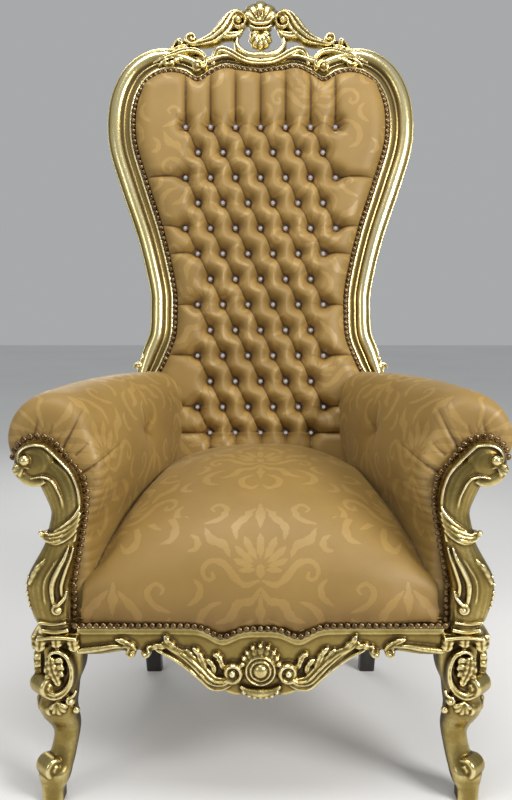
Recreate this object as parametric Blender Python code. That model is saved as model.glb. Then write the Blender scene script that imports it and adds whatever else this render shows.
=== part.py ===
"""Gilt baroque throne armchair: carved frame, deep-buttoned back, rolled arms and domed seat.

Metres, +Z up. The chair faces -Y, +X is to its left-hand neighbour's right, and the origin is
the centre of its footprint on the floor. While it is modelled, y = 0 is the front of the seat rail.
"""

import math

import bmesh
import bpy
import numpy as np

# Clearance kept between pieces that touch, and the distance at which points of a union merge
GAP = 0.0003
MERGE = 0.00005

# Seat rails: their top stands above the front legs' capitals
RAIL_RISE = 0.014
RAIL_HEIGHT = 0.068
RAIL_THICKNESS = 0.030
APRON_DROP = 0.078
APRON_REACH = 0.215
APRON_FLAT = 0.062
CUSP_X = 0.076
CUSP_WIDTH = 0.030
CUSP_DEPTH = 0.020
SCALLOP_DROP = 0.010

# Front legs
LEG_X = 0.4025
LEG_Y = 0.032
LEG_HEIGHT = 0.358
LEG_WIDTH = 0.086
FOOT_SCROLL_RADIUS = 0.021
KNEE_SCROLL_RADIUS = 0.020

# Rear legs
REAR_LEG_WIDTH = 0.058
REAR_LEG_DEPTH = 0.056
REAR_LEG_SPLAY = 0.022

# Back: its front plane leans backwards from the rail top
BACK_Y = 0.578
BACK_RAKE_DEG = 9.65
OPENING_HEIGHT = 1.249
SHOULDER_HALF = 0.347
WAIST_HALF = 0.233
HIP_HALF = 0.284
FRAME_WIDTH = 0.064
FRAME_THICKNESS = 0.036
FRAME_RELIEF = 0.017
CREST_HEIGHT = 0.188

# Buttoning of the back
BUTTON_PITCH = 0.067
BUTTON_ROWS = 13
TOP_BUTTON_DROP = 0.157
LOW_BUTTON_RISE = 0.283
PAD_EDGE = 0.004
PAD_BULGE = 0.036
PAD_BACK = 0.018
PAD_CLEARANCE = 0.0008
PANEL_THICKNESS = 0.012
PANEL_BULGE = 0.014

# Arms
ARM_SUPPORT_HEIGHT = 0.383
ARM_SUPPORT_WIDTH = 0.078
ARM_SUPPORT_DEPTH = 0.042
SUPPORT_OVERHANG = 0.012
ARM_INSIDE_FRONT = 0.337
ARM_INSIDE_BACK = 0.218
ARM_THICKNESS_FRONT = 0.068
ARM_THICKNESS_BACK = 0.106
ROLL_X_FRONT = 0.416
ROLL_X_BACK = 0.287
ROLL_RISE_BACK = 0.012
ROLL_RADIUS_FRONT = 0.090
ROLL_RADIUS_BACK = 0.073
ARM_CROWN = 0.012
ARM_BULGE = 0.030

# Seat: how far its middle and its sides rise above the rails
SEAT_CROWN = 0.268
SEAT_SIDE = 0.218
SEAT_DEPTH = 0.560
SEAT_OVERHANG = 0.010
SEAT_MARGIN = 0.010

GILT = ("gilt", (0.72, 0.53, 0.20), 1.0, 0.28)
BLACK = ("black_lacquer", (0.025, 0.02, 0.018), 0.0, 0.45)
DAMASK = ("damask", (0.60, 0.40, 0.15), 0.0, 0.55)

RAKE = math.radians(BACK_RAKE_DEG)
RAIL_TOP = LEG_HEIGHT + RAIL_RISE
OPENING_TOP = RAIL_TOP + OPENING_HEIGHT
TOP_BUTTON_Z = OPENING_TOP - TOP_BUTTON_DROP
BUTTON_ROW = (TOP_BUTTON_Z - RAIL_TOP - LOW_BUTTON_RISE) / (BUTTON_ROWS - 1)
SEAT_CROWN_Z = RAIL_TOP + SEAT_CROWN
SEAT_SIDE_Z = RAIL_TOP + SEAT_SIDE
SUPPORT_FRONT_Y = -SUPPORT_OVERHANG
SUPPORT_BACK_Y = SUPPORT_FRONT_Y + ARM_SUPPORT_DEPTH
ROLL_Z_FRONT = LEG_HEIGHT + 0.984 * ARM_SUPPORT_HEIGHT
ROLL_Z_BACK = ROLL_Z_FRONT + ROLL_RISE_BACK


# Curves and solids shared by the pieces


def smooth_curve(points, count, axes=2):
    """Catmull-Rom curve through the points, cut into equal steps measured on the first axes."""
    knots = np.array(points, float)
    ends = np.vstack([2 * knots[0] - knots[1], knots, 2 * knots[-1] - knots[-2]])
    t = np.linspace(0, 1, 16, endpoint=False)[:, None]
    spans = []
    for a, b, c, d in zip(ends, ends[1:], ends[2:], ends[3:]):
        spans.append(
            0.5 * (2 * b + (c - a) * t + (2 * a - 5 * b + 4 * c - d) * t**2 + (3 * b - a - 3 * c + d) * t**3)
        )
    dense = np.vstack(spans + [knots[-1:]])
    steps = np.linalg.norm(np.diff(dense[:, :axes], axis=0), axis=1)
    along = np.concatenate([[0], np.cumsum(steps)])
    wanted = np.linspace(0, along[-1], count)
    return np.column_stack([np.interp(wanted, along, column) for column in dense.T])


def directions(path):
    """Unit tangents of a path."""
    tangents = np.gradient(path, axis=0)
    return tangents / np.linalg.norm(tangents, axis=1)[:, None]


def material_of(finish):
    name, colour, metallic, roughness = finish
    material = bpy.data.materials.get(name)
    if material is None:
        material = bpy.data.materials.new(name)
        material.use_nodes = True
        shader = material.node_tree.nodes["Principled BSDF"]
        shader.inputs["Base Color"].default_value = (*colour, 1)
        shader.inputs["Metallic"].default_value = metallic
        shader.inputs["Roughness"].default_value = roughness
        material.diffuse_color = (*colour, 1)
    return material


def finish_object(name, bm, finish):
    bmesh.ops.recalc_face_normals(bm, faces=bm.faces)
    mesh = bpy.data.meshes.new(name)
    bm.to_mesh(mesh)
    bm.free()
    mesh.materials.append(material_of(finish))
    mesh.shade_smooth()
    mesh.set_sharp_from_angle(angle=math.radians(40))
    piece = bpy.data.objects.new(name, mesh)
    bpy.context.scene.collection.objects.link(piece)
    return piece


def skin(name, rings, finish):
    """Closed solid through a row of rings with equal counts, capped at both ends."""
    bm = bmesh.new()
    rows = [[bm.verts.new(point) for point in ring] for ring in rings]
    around = len(rows[0])
    for lower, upper in zip(rows, rows[1:]):
        for i in range(around):
            j = (i + 1) % around
            bm.faces.new((lower[i], lower[j], upper[j], upper[i]))
    bm.faces.new(rows[0][::-1])
    bm.faces.new(rows[-1])
    bmesh.ops.triangulate(bm, faces=bm.faces)
    return finish_object(name, bm, finish)


def combine(base, others, operation="UNION"):
    """Adds the other solids to base, or cuts them from it, with one Boolean, and removes them."""
    group = bpy.data.collections.new("solids")
    for other in others:
        group.objects.link(other)
    boolean = base.modifiers.new("boolean", "BOOLEAN")
    boolean.operation = operation
    boolean.solver = "EXACT"
    boolean.operand_type = "COLLECTION"
    boolean.collection = group
    evaluated = base.evaluated_get(bpy.context.evaluated_depsgraph_get())
    joined = bpy.data.meshes.new_from_object(evaluated)
    bm = bmesh.new()
    bm.from_mesh(joined)
    bmesh.ops.dissolve_degenerate(bm, edges=bm.edges, dist=MERGE)
    bmesh.ops.dissolve_limit(bm, angle_limit=math.radians(0.05), verts=bm.verts, edges=bm.edges)
    bmesh.ops.triangulate(bm, faces=bm.faces)
    bm.to_mesh(joined)
    bm.free()
    base.modifiers.clear()
    base.data = joined
    for other in others:
        bpy.data.objects.remove(other)
    bpy.data.collections.remove(group)
    return base


def mirror_copy(piece, name):
    """The same piece on the other side of the chair."""
    mesh = piece.data.copy()
    bm = bmesh.new()
    bm.from_mesh(mesh)
    for vertex in bm.verts:
        vertex.co.x = -vertex.co.x
    bmesh.ops.reverse_faces(bm, faces=bm.faces)
    bm.to_mesh(mesh)
    bm.free()
    mirrored = bpy.data.objects.new(name, mesh)
    bpy.context.scene.collection.objects.link(mirrored)
    return mirrored


def oval_tube(name, path, half_widths, place, relief, sides=5, base=-0.008):
    """Carved band along a flat path: place(u, v, d) puts it, and it stands relief high at its middle."""
    tangents = directions(path)
    rings = []
    for (u, v), (tu, tv), half in zip(path, tangents, half_widths):
        ring = []
        for k in range(sides):
            angle = 2 * math.pi * (k + 0.25) / sides
            across = half * math.cos(angle)
            depth = base + (relief - base) * (0.5 + 0.5 * math.sin(angle))
            ring.append(place(u - tv * across, v + tu * across, depth))
        rings.append(ring)
    return skin(name, rings, GILT)


def fan(name, root, reach, angles_deg, lobe_half, place, relief, base=-0.006):
    """Shell lobes that spread from a root: tapered ribs at the given angles."""
    lobes = []
    for i, angle_deg in enumerate(angles_deg):
        angle = math.radians(angle_deg)
        length = reach(angle_deg)
        shares = (0.0, 0.45, 0.80, 1.0)
        widths = (0.30, 0.75, 1.0, 0.45)
        path = np.array([[root[0] + s * length * math.cos(angle), root[1] + s * length * math.sin(angle)]
                         for s in shares])
        halves = [lobe_half * w for w in widths]
        lobes.append(oval_tube(f"{name}_{i}", path, halves, place, relief, sides=5, base=base))
    return lobes


def disc(name, centre, radius, place, depths, sides=12):
    """Turned boss: depths gives (share of radius, depth) from its rim at the back to its top."""
    rings = []
    for share, depth in depths:
        ring = []
        for k in range(sides):
            angle = 2 * math.pi * k / sides
            ring.append(place(centre[0] + share * radius * math.cos(angle),
                              centre[1] + share * radius * math.sin(angle), depth))
        rings.append(ring)
    return skin(name, rings, GILT)


def volute(name, centre, radius, place, relief, sides=9):
    """Rolled end of a scroll: a drum with a raised rim and a raised eye."""
    return disc(name, centre, radius, place,
                ((0.96, -0.010), (0.98, relief), (0.60, relief - 0.006), (0.30, relief + 0.002)), sides)


# Places on the chair


def back_plane_y(z):
    """y of the back's front plane at a height."""
    return BACK_Y + math.tan(RAKE) * (z - RAIL_TOP)


def on_back(x, z, d=0.0):
    """Point d in front of the raked plane of the back."""
    return (x, back_plane_y(z) - d * math.cos(RAKE), z + d * math.sin(RAKE))


def on_front(x, z, d=0.0):
    """Point d in front of the seat rail."""
    return (x, -d, z)


def apron_top(x):
    """Upper edge of the front rail, with its two cusps."""
    cusps = CUSP_DEPTH * math.exp(-(((abs(x) - CUSP_X) / CUSP_WIDTH) ** 2))
    return RAIL_TOP - cusps - 0.3 * CUSP_DEPTH * math.exp(-((x / CUSP_X) ** 2))


def apron_bottom(x):
    """Lower edge of the front rail: level at the ends, dropping to the carved centre."""
    t = min(max((APRON_REACH - abs(x)) / (APRON_REACH - APRON_FLAT), 0), 1)
    return RAIL_TOP - RAIL_HEIGHT - APRON_DROP * t * t * (3 - 2 * t)


def back_outline():
    """Right half of the opening in the back frame, bottom to top, with the moulding's width."""
    side = SHOULDER_HALF - WAIST_HALF
    shares = [
        (HIP_HALF - 0.012, 0.0, 0.86),
        (HIP_HALF, 0.14, 0.82),
        (HIP_HALF + 0.005, 0.26, 0.78),
        (HIP_HALF, 0.335, 0.76),
        (WAIST_HALF + 0.26 * side, 0.375, 0.92),
        (WAIST_HALF + 0.04 * side, 0.427, 0.94),
        (WAIST_HALF, 0.485, 0.94),
        (WAIST_HALF + 0.04 * side, 0.541, 0.94),
        (WAIST_HALF + 0.30 * side, 0.645, 0.97),
        (WAIST_HALF + 0.69 * side, 0.757, 1.02),
        (WAIST_HALF + 0.94 * side, 0.831, 1.02),
        (SHOULDER_HALF, 0.883, 1.01),
        (SHOULDER_HALF * 0.98, 0.931, 0.99),
        (SHOULDER_HALF * 0.916, 0.970, 0.97),
        (SHOULDER_HALF * 0.816, 0.993, 0.94),
        (SHOULDER_HALF * 0.706, 1.001, 0.85),
        (SHOULDER_HALF * 0.591, 0.9965, 0.72),
        (SHOULDER_HALF * 0.488, 0.981, 0.80),
        (SHOULDER_HALF * 0.388, 0.998, 0.55),
        (SHOULDER_HALF * 0.274, 1.010, 0.47),
        (SHOULDER_HALF * 0.144, 1.005, 0.48),
        (0.0, 1.0, 0.48),
    ]
    points = [(x, RAIL_TOP + share * OPENING_HEIGHT, width * FRAME_WIDTH) for x, share, width in shares]
    return smooth_curve(points, 400)


OUTLINE = back_outline()
CORNER_Z = RAIL_TOP + 0.970 * OPENING_HEIGHT
CORNER = int(np.argmax(OUTLINE[:, 1] >= CORNER_Z))


def outline_side(z):
    """Half width of the opening and width of the moulding at a height below the corner."""
    part = OUTLINE[: CORNER + 1]
    return np.interp(z, part[:, 1], part[:, 0]), np.interp(z, part[:, 1], part[:, 2])


def outline_top(x):
    """Height of the opening and width of the moulding at a distance from the middle."""
    part = OUTLINE[CORNER:][::-1]
    return np.interp(abs(x), part[:, 0], part[:, 1]), np.interp(abs(x), part[:, 0], part[:, 2])


# Buttoning of the back


def pad_rows():
    """Heights of the cushion's rows of points along its sides, bottom to top."""
    lowest_button = TOP_BUTTON_Z - (BUTTON_ROWS - 1) * BUTTON_ROW
    low = np.linspace(RAIL_TOP + PAD_BACK, lowest_button, 4)[:3]
    buttons = lowest_button + BUTTON_ROW * np.arange(BUTTON_ROWS)
    high = np.linspace(TOP_BUTTON_Z, CORNER_Z, 4)[1:]
    return list(low), list(buttons), list(high)


def pad_columns(half_width):
    """x of the cushion's columns of points: the button columns, and three more at each side."""
    middle = np.arange(-6, 7) * BUTTON_PITCH / 2
    reach = middle[-1]
    side = reach + (half_width - reach) * np.array([0.38, 0.78, 1.0])
    return np.concatenate([-side[::-1], middle, side])


def pad_depth(x, z, edge_distance, crest_share):
    """How far the cushion stands in front of the back's plane."""
    if edge_distance <= 0:
        return PAD_EDGE
    rise = math.sqrt(1 - (1 - min(edge_distance / 0.030, 1)) ** 2)
    row = (TOP_BUTTON_Z - z) / BUTTON_ROW
    first = x / BUTTON_PITCH + row / 2
    second = x / BUTTON_PITCH - row / 2
    zone = 3.01 if row < 4.5 else 2.51
    if row < -0.01:
        fold = abs(math.sin(math.pi * x / BUTTON_PITCH)) if abs(x) < 3.01 * BUTTON_PITCH else 1
        fold = 0.35 + 0.65 * fold * (1 - 0.2 * crest_share)
    elif row > BUTTON_ROWS - 0.99 or abs(x) > zone * BUTTON_PITCH:
        pleats = (2, 4, 5, 7, 9, 11, 12)
        nearest = min(abs(row - pleat) for pleat in pleats)
        fold = min(0.25 + nearest, 1)
    else:
        fold = abs(math.sin(math.pi * first) * math.sin(math.pi * second))
    return PAD_EDGE + (PAD_BULGE - PAD_EDGE) * rise * (0.18 + 0.82 * fold)


def back_cushion():
    """Deep-buttoned cushion: a folded front over a flat back, inside the frame's opening."""
    low, buttons, high = pad_rows()
    side_heights = low + buttons + high
    bm = bmesh.new()
    grid = []
    for height in side_heights:
        crest_share = max(height - TOP_BUTTON_Z, 0) / (CORNER_Z - TOP_BUTTON_Z)
        half = outline_side(height)[0] - PAD_CLEARANCE
        row = []
        for x in pad_columns(half):
            top_x = x if crest_share < 1 else math.copysign(min(abs(x), half), x)
            roof = outline_top(top_x)[0] - PAD_CLEARANCE
            z = height if crest_share == 0 else TOP_BUTTON_Z + crest_share * (roof - TOP_BUTTON_Z)
            if abs(abs(x) - half) < 1e-9:
                z = height
            edge = min(half - abs(x), roof - z, z - side_heights[0])
            row.append(bm.verts.new(on_back(x, z, pad_depth(x, z, edge, crest_share))))
        grid.append(row)
    first_button_row = len(low)
    for r, (lower, upper) in enumerate(zip(grid, grid[1:])):
        for c in range(len(lower) - 1):
            corners = (lower[c], lower[c + 1], upper[c + 1], upper[c])
            from_top = BUTTON_ROWS - 1 - (r - first_button_row)
            starts_on_button = (from_top + c - 3) % 2 == 0
            split = (0, 1, 2), (0, 2, 3)
            if not starts_on_button:
                split = (0, 1, 3), (1, 2, 3)
            for triangle in split:
                bm.faces.new([corners[k] for k in triangle])
    rim = grid[0] + [row[-1] for row in grid[1:-1]] + grid[-1][::-1] + [row[0] for row in grid[-2:0:-1]]
    back = []
    for vertex in rim:
        height = (vertex.co.z - PAD_EDGE * math.sin(RAKE))
        back.append(bm.verts.new(on_back(vertex.co.x, height, -PAD_BACK)))
    for i in range(len(rim)):
        j = (i + 1) % len(rim)
        bm.faces.new((rim[i], rim[j], back[j], back[i]))
    cap = bm.faces.new(back)
    bmesh.ops.triangulate(bm, faces=[cap], ngon_method="EAR_CLIP")
    outline = [(vertex.co.x, vertex.co.z - PAD_EDGE * math.sin(RAKE)) for vertex in rim]
    return finish_object("back_cushion", bm, DAMASK), outline


def back_panel(rim):
    """Fabric covered panel that closes the outside back, slightly domed."""
    levels = (
        (1.0, -PAD_BACK - GAP),
        (1.0, -PAD_BACK - PANEL_THICKNESS),
        (0.86, -PAD_BACK - PANEL_THICKNESS - PANEL_BULGE),
    )
    middle_z = RAIL_TOP + OPENING_HEIGHT / 2
    rings = []
    for share, depth in levels:
        rings.append([on_back(x * share, middle_z + (z - middle_z) * (0.5 + 0.5 * share), depth)
                      for x, z in rim])
    return skin("back_panel", rings, DAMASK)


# Carved frame of the back


def frame_path():
    """Stations of the moulding's inner edge, left foot to right foot, with its width."""
    low, buttons, high = pad_rows()
    side = [(*[outline_side(z)[0]], z, outline_side(z)[1]) for z in [RAIL_TOP] + low + buttons + high]
    top_xs = [x for x in pad_columns(side[-1][0])[::-1] if abs(x) < side[-1][0] - 1e-6]
    top = [(x, outline_top(x)[0], outline_top(x)[1]) for x in top_xs]
    right = np.array(side)
    left = right[::-1] * [-1, 1, 1]
    return np.vstack([right, np.array(top), left])


def back_frame():
    """Moulding swept round the opening, with the pierced cresting and scrolls carved on it."""
    path = frame_path()
    tangents = directions(path[:, :2])
    profile = (
        (0.00, 0.0),
        (0.14, 0.1),
        (0.26, 0.6),
        (0.42, 0.1),
        (0.62, 0.9),
        (0.82, 1.0),
        (1.00, 0.0),
    )
    rings = []
    for (x, z, width), (tx, tz) in zip(path, tangents):
        ring = [(x + tz * n * width, z - tx * n * width, d * FRAME_RELIEF) for n, d in profile]
        ring.append((x + tz * 0.96 * width, z - tx * 0.96 * width, -FRAME_THICKNESS))
        ring.append((x, z, -FRAME_THICKNESS))
        rings.append(ring)
    foot = RAIL_TOP + GAP
    placed = [[on_back(*point) for point in ring] for ring in rings]
    for ring in (placed[0], placed[-1]):
        for i, (x, y, z) in enumerate(ring):
            ring[i] = (x, y + math.tan(RAKE) * (foot - z), foot)
    frame = skin("back_frame", placed, GILT)
    return combine(frame, cresting())


def cresting():
    """Scrolls, shells and leaves of the crest, as solids that run into each other."""

    def place(x, h, d):
        return on_back(x * CREST_HEIGHT, OPENING_TOP + h * CREST_HEIGHT, d)

    pieces = []
    for side in (1, -1):
        tag = "right" if side > 0 else "left"

        def band(name, points, count, halves, relief):
            path = smooth_curve(points, count) * [side, 1]
            widths = np.interp(np.linspace(0, 1, count), np.linspace(0, 1, len(halves)), halves)
            pieces.append(oval_tube(f"{name}_{tag}", path, widths, place, relief))

        def eye(name, x, h, radius, relief):
            pieces.append(volute(f"{name}_{tag}", (side * x, h), radius, place, relief))

        band("upper_scroll", [(0.32, 0.775), (0.45, 0.735), (0.56, 0.61), (0.69, 0.48), (0.84, 0.40),
                              (0.98, 0.395)], 8, (0.03, 0.07, 0.095, 0.075, 0.055), 0.022)
        eye("upper_eye", 0.322, 0.69, 0.125, 0.026)
        eye("upper_end", 0.973, 0.452, 0.084, 0.020)
        band("lower_scroll", [(0.81, 0.05), (0.79, 0.16), (0.875, 0.265), (1.02, 0.29), (1.16, 0.235),
                              (1.31, 0.13), (1.47, 0.01)], 8, (0.03, 0.05, 0.06, 0.05, 0.02), 0.025)
        eye("lower_eye", 0.915, 0.04, 0.085, 0.028)
        bracket_z = RAIL_TOP + 0.376 * OPENING_HEIGHT
        half, width = outline_side(bracket_z)
        x = (float(half) + 0.97 * float(width)) / CREST_HEIGHT
        h = (bracket_z - OPENING_TOP) / CREST_HEIGHT
        band("bracket", [(x - 0.04, h + 0.08), (x + 0.04, h + 0.105), (x + 0.12, h + 0.04)], 4,
             (0.02, 0.045, 0.02), 0.020)
        eye("bracket_eye", x, h, 0.077, 0.022)

    half_leaf = [(0.30, 0.165), (0.45, 0.255), (0.59, 0.30), (0.715, 0.23), (0.77, 0.06)]
    half_bowl = [(0.18, 0.25), (0.29, 0.33), (0.34, 0.43)]
    for name, half, middle, count, relief, widths in (
        ("leaf", half_leaf, (0.0, 0.14), 13, 0.018, (0.03, 0.055, 0.06, 0.065, 0.06, 0.055, 0.03)),
        ("bowl", half_bowl, (0.0, 0.22), 7, 0.014, (0.02, 0.05, 0.065, 0.05, 0.02)),
    ):
        points = [(-x, h) for x, h in half[::-1]] + [middle] + half
        path = smooth_curve(points, count)
        halves = np.interp(np.linspace(0, 1, count), np.linspace(0, 1, len(widths)), widths)
        pieces.append(oval_tube(name, path, halves, place, relief, base=-0.5 * relief))

    def palmette_reach(angle_deg):
        return 0.40 - 0.11 * abs(angle_deg - 90) / 60

    pieces += fan("palmette", (0.0, 0.59), palmette_reach, (30, 60, 90, 120, 150), 0.075, place, 0.024)
    pieces += fan("scallop", (0.0, 0.53), lambda a: 0.26, (-130, -110, -90, -70, -50), 0.045, place, 0.020)
    pieces.append(disc("lip", (0.0, 0.565), 0.12, place,
                       ((0.9, -0.010), (1.0, 0.010), (0.6, 0.026), (0.2, 0.028)), sides=10))
    return pieces


# Seat rails and apron


def leg_outline():
    """Front leg from the floor up: height, outward shift and half width as shares of its size."""
    stations = [
        (0.000, 0.20, 0.25),
        (0.075, 0.20, 0.26),
        (0.120, 0.17, 0.33),
        (0.175, 0.16, 0.38),
        (0.225, 0.06, 0.33),
        (0.290, -0.02, 0.30),
        (0.370, -0.08, 0.30),
        (0.430, -0.06, 0.34),
        (0.490, 0.02, 0.43),
        (0.575, 0.07, 0.455),
        (0.635, 0.03, 0.43),
        (0.690, 0.05, 0.49),
        (0.760, -0.06, 0.49),
        (0.850, -0.10, 0.475),
        (0.930, -0.085, 0.49),
        (0.970, -0.02, 0.55),
        (1.000, -0.06, 0.50),
    ]
    return [(h * LEG_HEIGHT, shift * LEG_WIDTH, half * LEG_WIDTH) for h, shift, half in stations]


def leg_at_rails():
    """x of the leg's inner face and y of its back, where the rails meet it."""
    rail_bottom = RAIL_TOP - RAIL_HEIGHT
    head = [(shift, half) for h, shift, half in leg_outline() if h > rail_bottom - 0.03]
    return (min(LEG_X + shift - half for shift, half in head),
            max(LEG_Y - shift + half for shift, half in head))


def seat_rail_front():
    """Shaped apron board with scrolls, shells and leaves carved on its front."""
    end = leg_at_rails()[0] - GAP
    bevel = 0.003
    rings = []
    for x in np.linspace(-end, end, 29):
        low = apron_bottom(x)
        high = apron_top(x)
        rings.append([(x, RAIL_THICKNESS, low), (x, bevel, low), (x, 0.0, low + bevel),
                      (x, 0.0, high - bevel), (x, bevel, high), (x, RAIL_THICKNESS, high)])
    rail = skin("seat_rail_front", rings, GILT)
    centre_z = apron_bottom(0) + 0.050
    pieces = []
    for side in (1, -1):
        tag = "right" if side > 0 else "left"

        def band(name, points, count, halves, relief):
            path = smooth_curve(points, count) * [side, 1]
            widths = np.interp(np.linspace(0, 1, count), np.linspace(0, 1, len(halves)), halves)
            pieces.append(oval_tube(f"{name}_{tag}", path, widths, on_front, relief))

        run = [(x, apron_bottom(x) + 0.010) for x in (0.088, 0.120, 0.150, 0.180, 0.208)]
        band("apron_scroll", [(0.052, centre_z - 0.018)] + run + [(0.234, apron_bottom(0.234) + 0.017)], 9,
             (0.005, 0.010, 0.012, 0.008, 0.004), 0.014)
        pieces.append(volute(f"apron_eye_{tag}", (side * 0.054, centre_z), 0.021, on_front, 0.017))
        band("apron_leaf", [(0.204, apron_bottom(0.204) + 0.006), (0.240, apron_bottom(0.24) + 0.003),
                            (0.268, apron_bottom(0.268) + 0.020)], 5, (0.010, 0.008, 0.003), 0.011)
        band("apron_spray", [(0.098, apron_bottom(0.098) + 0.010), (0.120, apron_bottom(0.120) + 0.028),
                             (0.128, apron_bottom(0.128) + 0.052)], 5, (0.009, 0.008, 0.003), 0.0105)
    pieces += fan("apron_shell", (0.0, centre_z), lambda a: 0.062 - 0.016 * abs(a - 90) / 60,
                  (32, 61, 90, 119, 148), 0.013, on_front, 0.012)
    pieces += fan("apron_skirt", (0.0, centre_z), lambda a: 0.049, (-125, -101, -79, -55), 0.012,
                  on_front, 0.010)
    pieces.append(disc("apron_boss", (0.0, centre_z), 0.026, on_front,
                       ((0.95, -0.006), (1.0, 0.010), (0.80, 0.015), (0.62, 0.011), (0.45, 0.017),
                        (0.15, 0.020)), sides=14))
    return combine(rail, pieces)


def side_rail():
    """Right side rail, with a shallow scallop along its lower edge."""
    front_y = leg_at_rails()[1] + GAP
    back_y = rear_leg_front_y() - GAP
    rings = []
    for share in np.linspace(0, 1, 9):
        y = front_y + share * (back_y - front_y)
        x = LEG_X - 0.1 * LEG_WIDTH + share * (rear_leg_x() - LEG_X + 0.1 * LEG_WIDTH)
        low = RAIL_TOP - RAIL_HEIGHT - SCALLOP_DROP * math.sin(math.pi * share) ** 2
        half = RAIL_THICKNESS / 2
        rings.append([(x - half, y, low), (x + half - 0.004, y, low), (x + half, y, low + 0.005),
                      (x + half, y, RAIL_TOP - 0.004), (x + half - 0.004, y, RAIL_TOP),
                      (x - half, y, RAIL_TOP)])
    return skin("seat_rail_right", rings, GILT)


def seat_rail_back():
    end = rear_leg_x() - REAR_LEG_WIDTH / 2 - GAP
    front_y = rear_leg_front_y() + 0.012
    low = RAIL_TOP - RAIL_HEIGHT
    rings = []
    for x in (-end, end):
        rings.append([(x, front_y, low), (x, front_y + RAIL_THICKNESS, low),
                      (x, front_y + RAIL_THICKNESS, RAIL_TOP), (x, front_y, RAIL_TOP)])
    return skin("seat_rail_back", rings, GILT)


# Legs


def rounded_square(centre, half_x, half_y, z, count, power):
    """Ring of a square section with rounded corners."""
    ring = []
    for k in range(count):
        angle = 2 * math.pi * (k + 0.5) / count
        c, s = math.cos(angle), math.sin(angle)
        ring.append((centre[0] + half_x * math.copysign(abs(c) ** (2 / power), c),
                     centre[1] + half_y * math.copysign(abs(s) ** (2 / power), s), z))
    return ring


def corner_scroll(name, x, z, radius, length):
    """Scroll that rolls outwards on a front leg's corner, its ends turned to the front and side."""
    along = np.array([math.sqrt(0.5), math.sqrt(0.5)])
    outwards = np.array([math.sqrt(0.5), -math.sqrt(0.5)])
    centre = np.array([x, LEG_Y - (x - LEG_X)])
    rings = []
    for share, size in ((-1.0, 0.55), (-0.8, 1.0), (0.0, 0.86), (0.8, 1.0), (1.0, 0.55)):
        middle = centre + along * share * length / 2
        ring = []
        for k in range(8):
            angle = 2 * math.pi * k / 8
            reach = radius * size * math.cos(angle)
            ring.append((middle[0] + outwards[0] * reach, middle[1] + outwards[1] * reach,
                         z + radius * size * math.sin(angle)))
        rings.append(ring)
    return skin(name, rings, GILT)


def front_leg():
    """Right cabriole leg with a leaf scroll at the knee and a scroll foot on a block."""
    rings = []
    for height, shift, half in leg_outline():
        power = 5 if height < 0.1 * LEG_HEIGHT or height > 0.74 * LEG_HEIGHT else 2.8
        centre = (LEG_X + shift, LEG_Y - shift)
        rings.append(rounded_square(centre, half, half, height, 12, power))
    leg = skin("front_leg_right", rings, GILT)
    foot_x = LEG_X + 0.36 * LEG_WIDTH
    knee_x = LEG_X + 0.38 * LEG_WIDTH
    pieces = [
        corner_scroll("foot_scroll", foot_x, 0.175 * LEG_HEIGHT, FOOT_SCROLL_RADIUS, 0.60 * LEG_WIDTH),
        corner_scroll("knee_scroll", knee_x, 0.685 * LEG_HEIGHT, KNEE_SCROLL_RADIUS, 0.66 * LEG_WIDTH),
    ]

    def on_leg(x, z, d):
        return (x, LEG_Y - 0.47 * LEG_WIDTH - d, z)

    leaf_x = LEG_X - 0.05 * LEG_WIDTH
    reach = 0.24 * LEG_HEIGHT
    pieces += fan("knee_leaf", (leaf_x + 0.004, 0.69 * LEG_HEIGHT), lambda a: reach, (58, 90, 122), 0.010,
                  on_leg, 0.010, base=-0.012)
    return combine(leg, pieces)


def rear_leg_x():
    """Middle of the stile above the rear leg."""
    half, width = outline_side(RAIL_TOP)
    return float(half + width / 2)


def rear_leg_front_y():
    return BACK_Y - FRAME_RELIEF - 0.002


def rear_leg():
    """Plain sabre leg under the stile, splayed a little backwards."""
    rings = []
    for height, splay, size in ((0.0, 1.0, 0.72), (0.35, 0.45, 0.78), (0.70, 0.0, 0.90), (1.0, 0.0, 1.0)):
        centre = (rear_leg_x() - 0.4 * splay * REAR_LEG_SPLAY,
                  rear_leg_front_y() + REAR_LEG_DEPTH / 2 + splay * REAR_LEG_SPLAY)
        rings.append(rounded_square(centre, size * REAR_LEG_WIDTH / 2, size * REAR_LEG_DEPTH / 2,
                                    height * RAIL_TOP, 12, 6))
    return skin("rear_leg_right", rings, BLACK)


# Seat


SEAT_PROFILE = (
    (0.000, 0.03, 0.0),
    (0.002, 0.18, 0.10),
    (0.011, 0.41, 0.28),
    (0.044, 0.55, 0.40),
    (0.070, 0.63, 0.46),
    (0.149, 0.74, 0.58),
    (0.281, 0.87, 0.72),
    (0.456, 0.95, 0.84),
    (0.650, 0.99, 0.93),
    (0.825, 1.00, 0.98),
    (1.000, 0.98, 0.98),
)


def seat_y(share):
    """y at a share of the seat's depth, counted from its front edge."""
    return share * (SEAT_DEPTH + SEAT_OVERHANG) - SEAT_OVERHANG


def seat_heights(y):
    """Height of the seat along its middle and along its sides."""
    base = RAIL_TOP + GAP
    shares, crowns, sides = zip(*SEAT_PROFILE)
    ys = [seat_y(share) for share in shares]
    return (base + float(np.interp(y, ys, crowns)) * (SEAT_CROWN_Z - base),
            base + float(np.interp(y, ys, sides)) * (SEAT_SIDE_Z - base))


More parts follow.
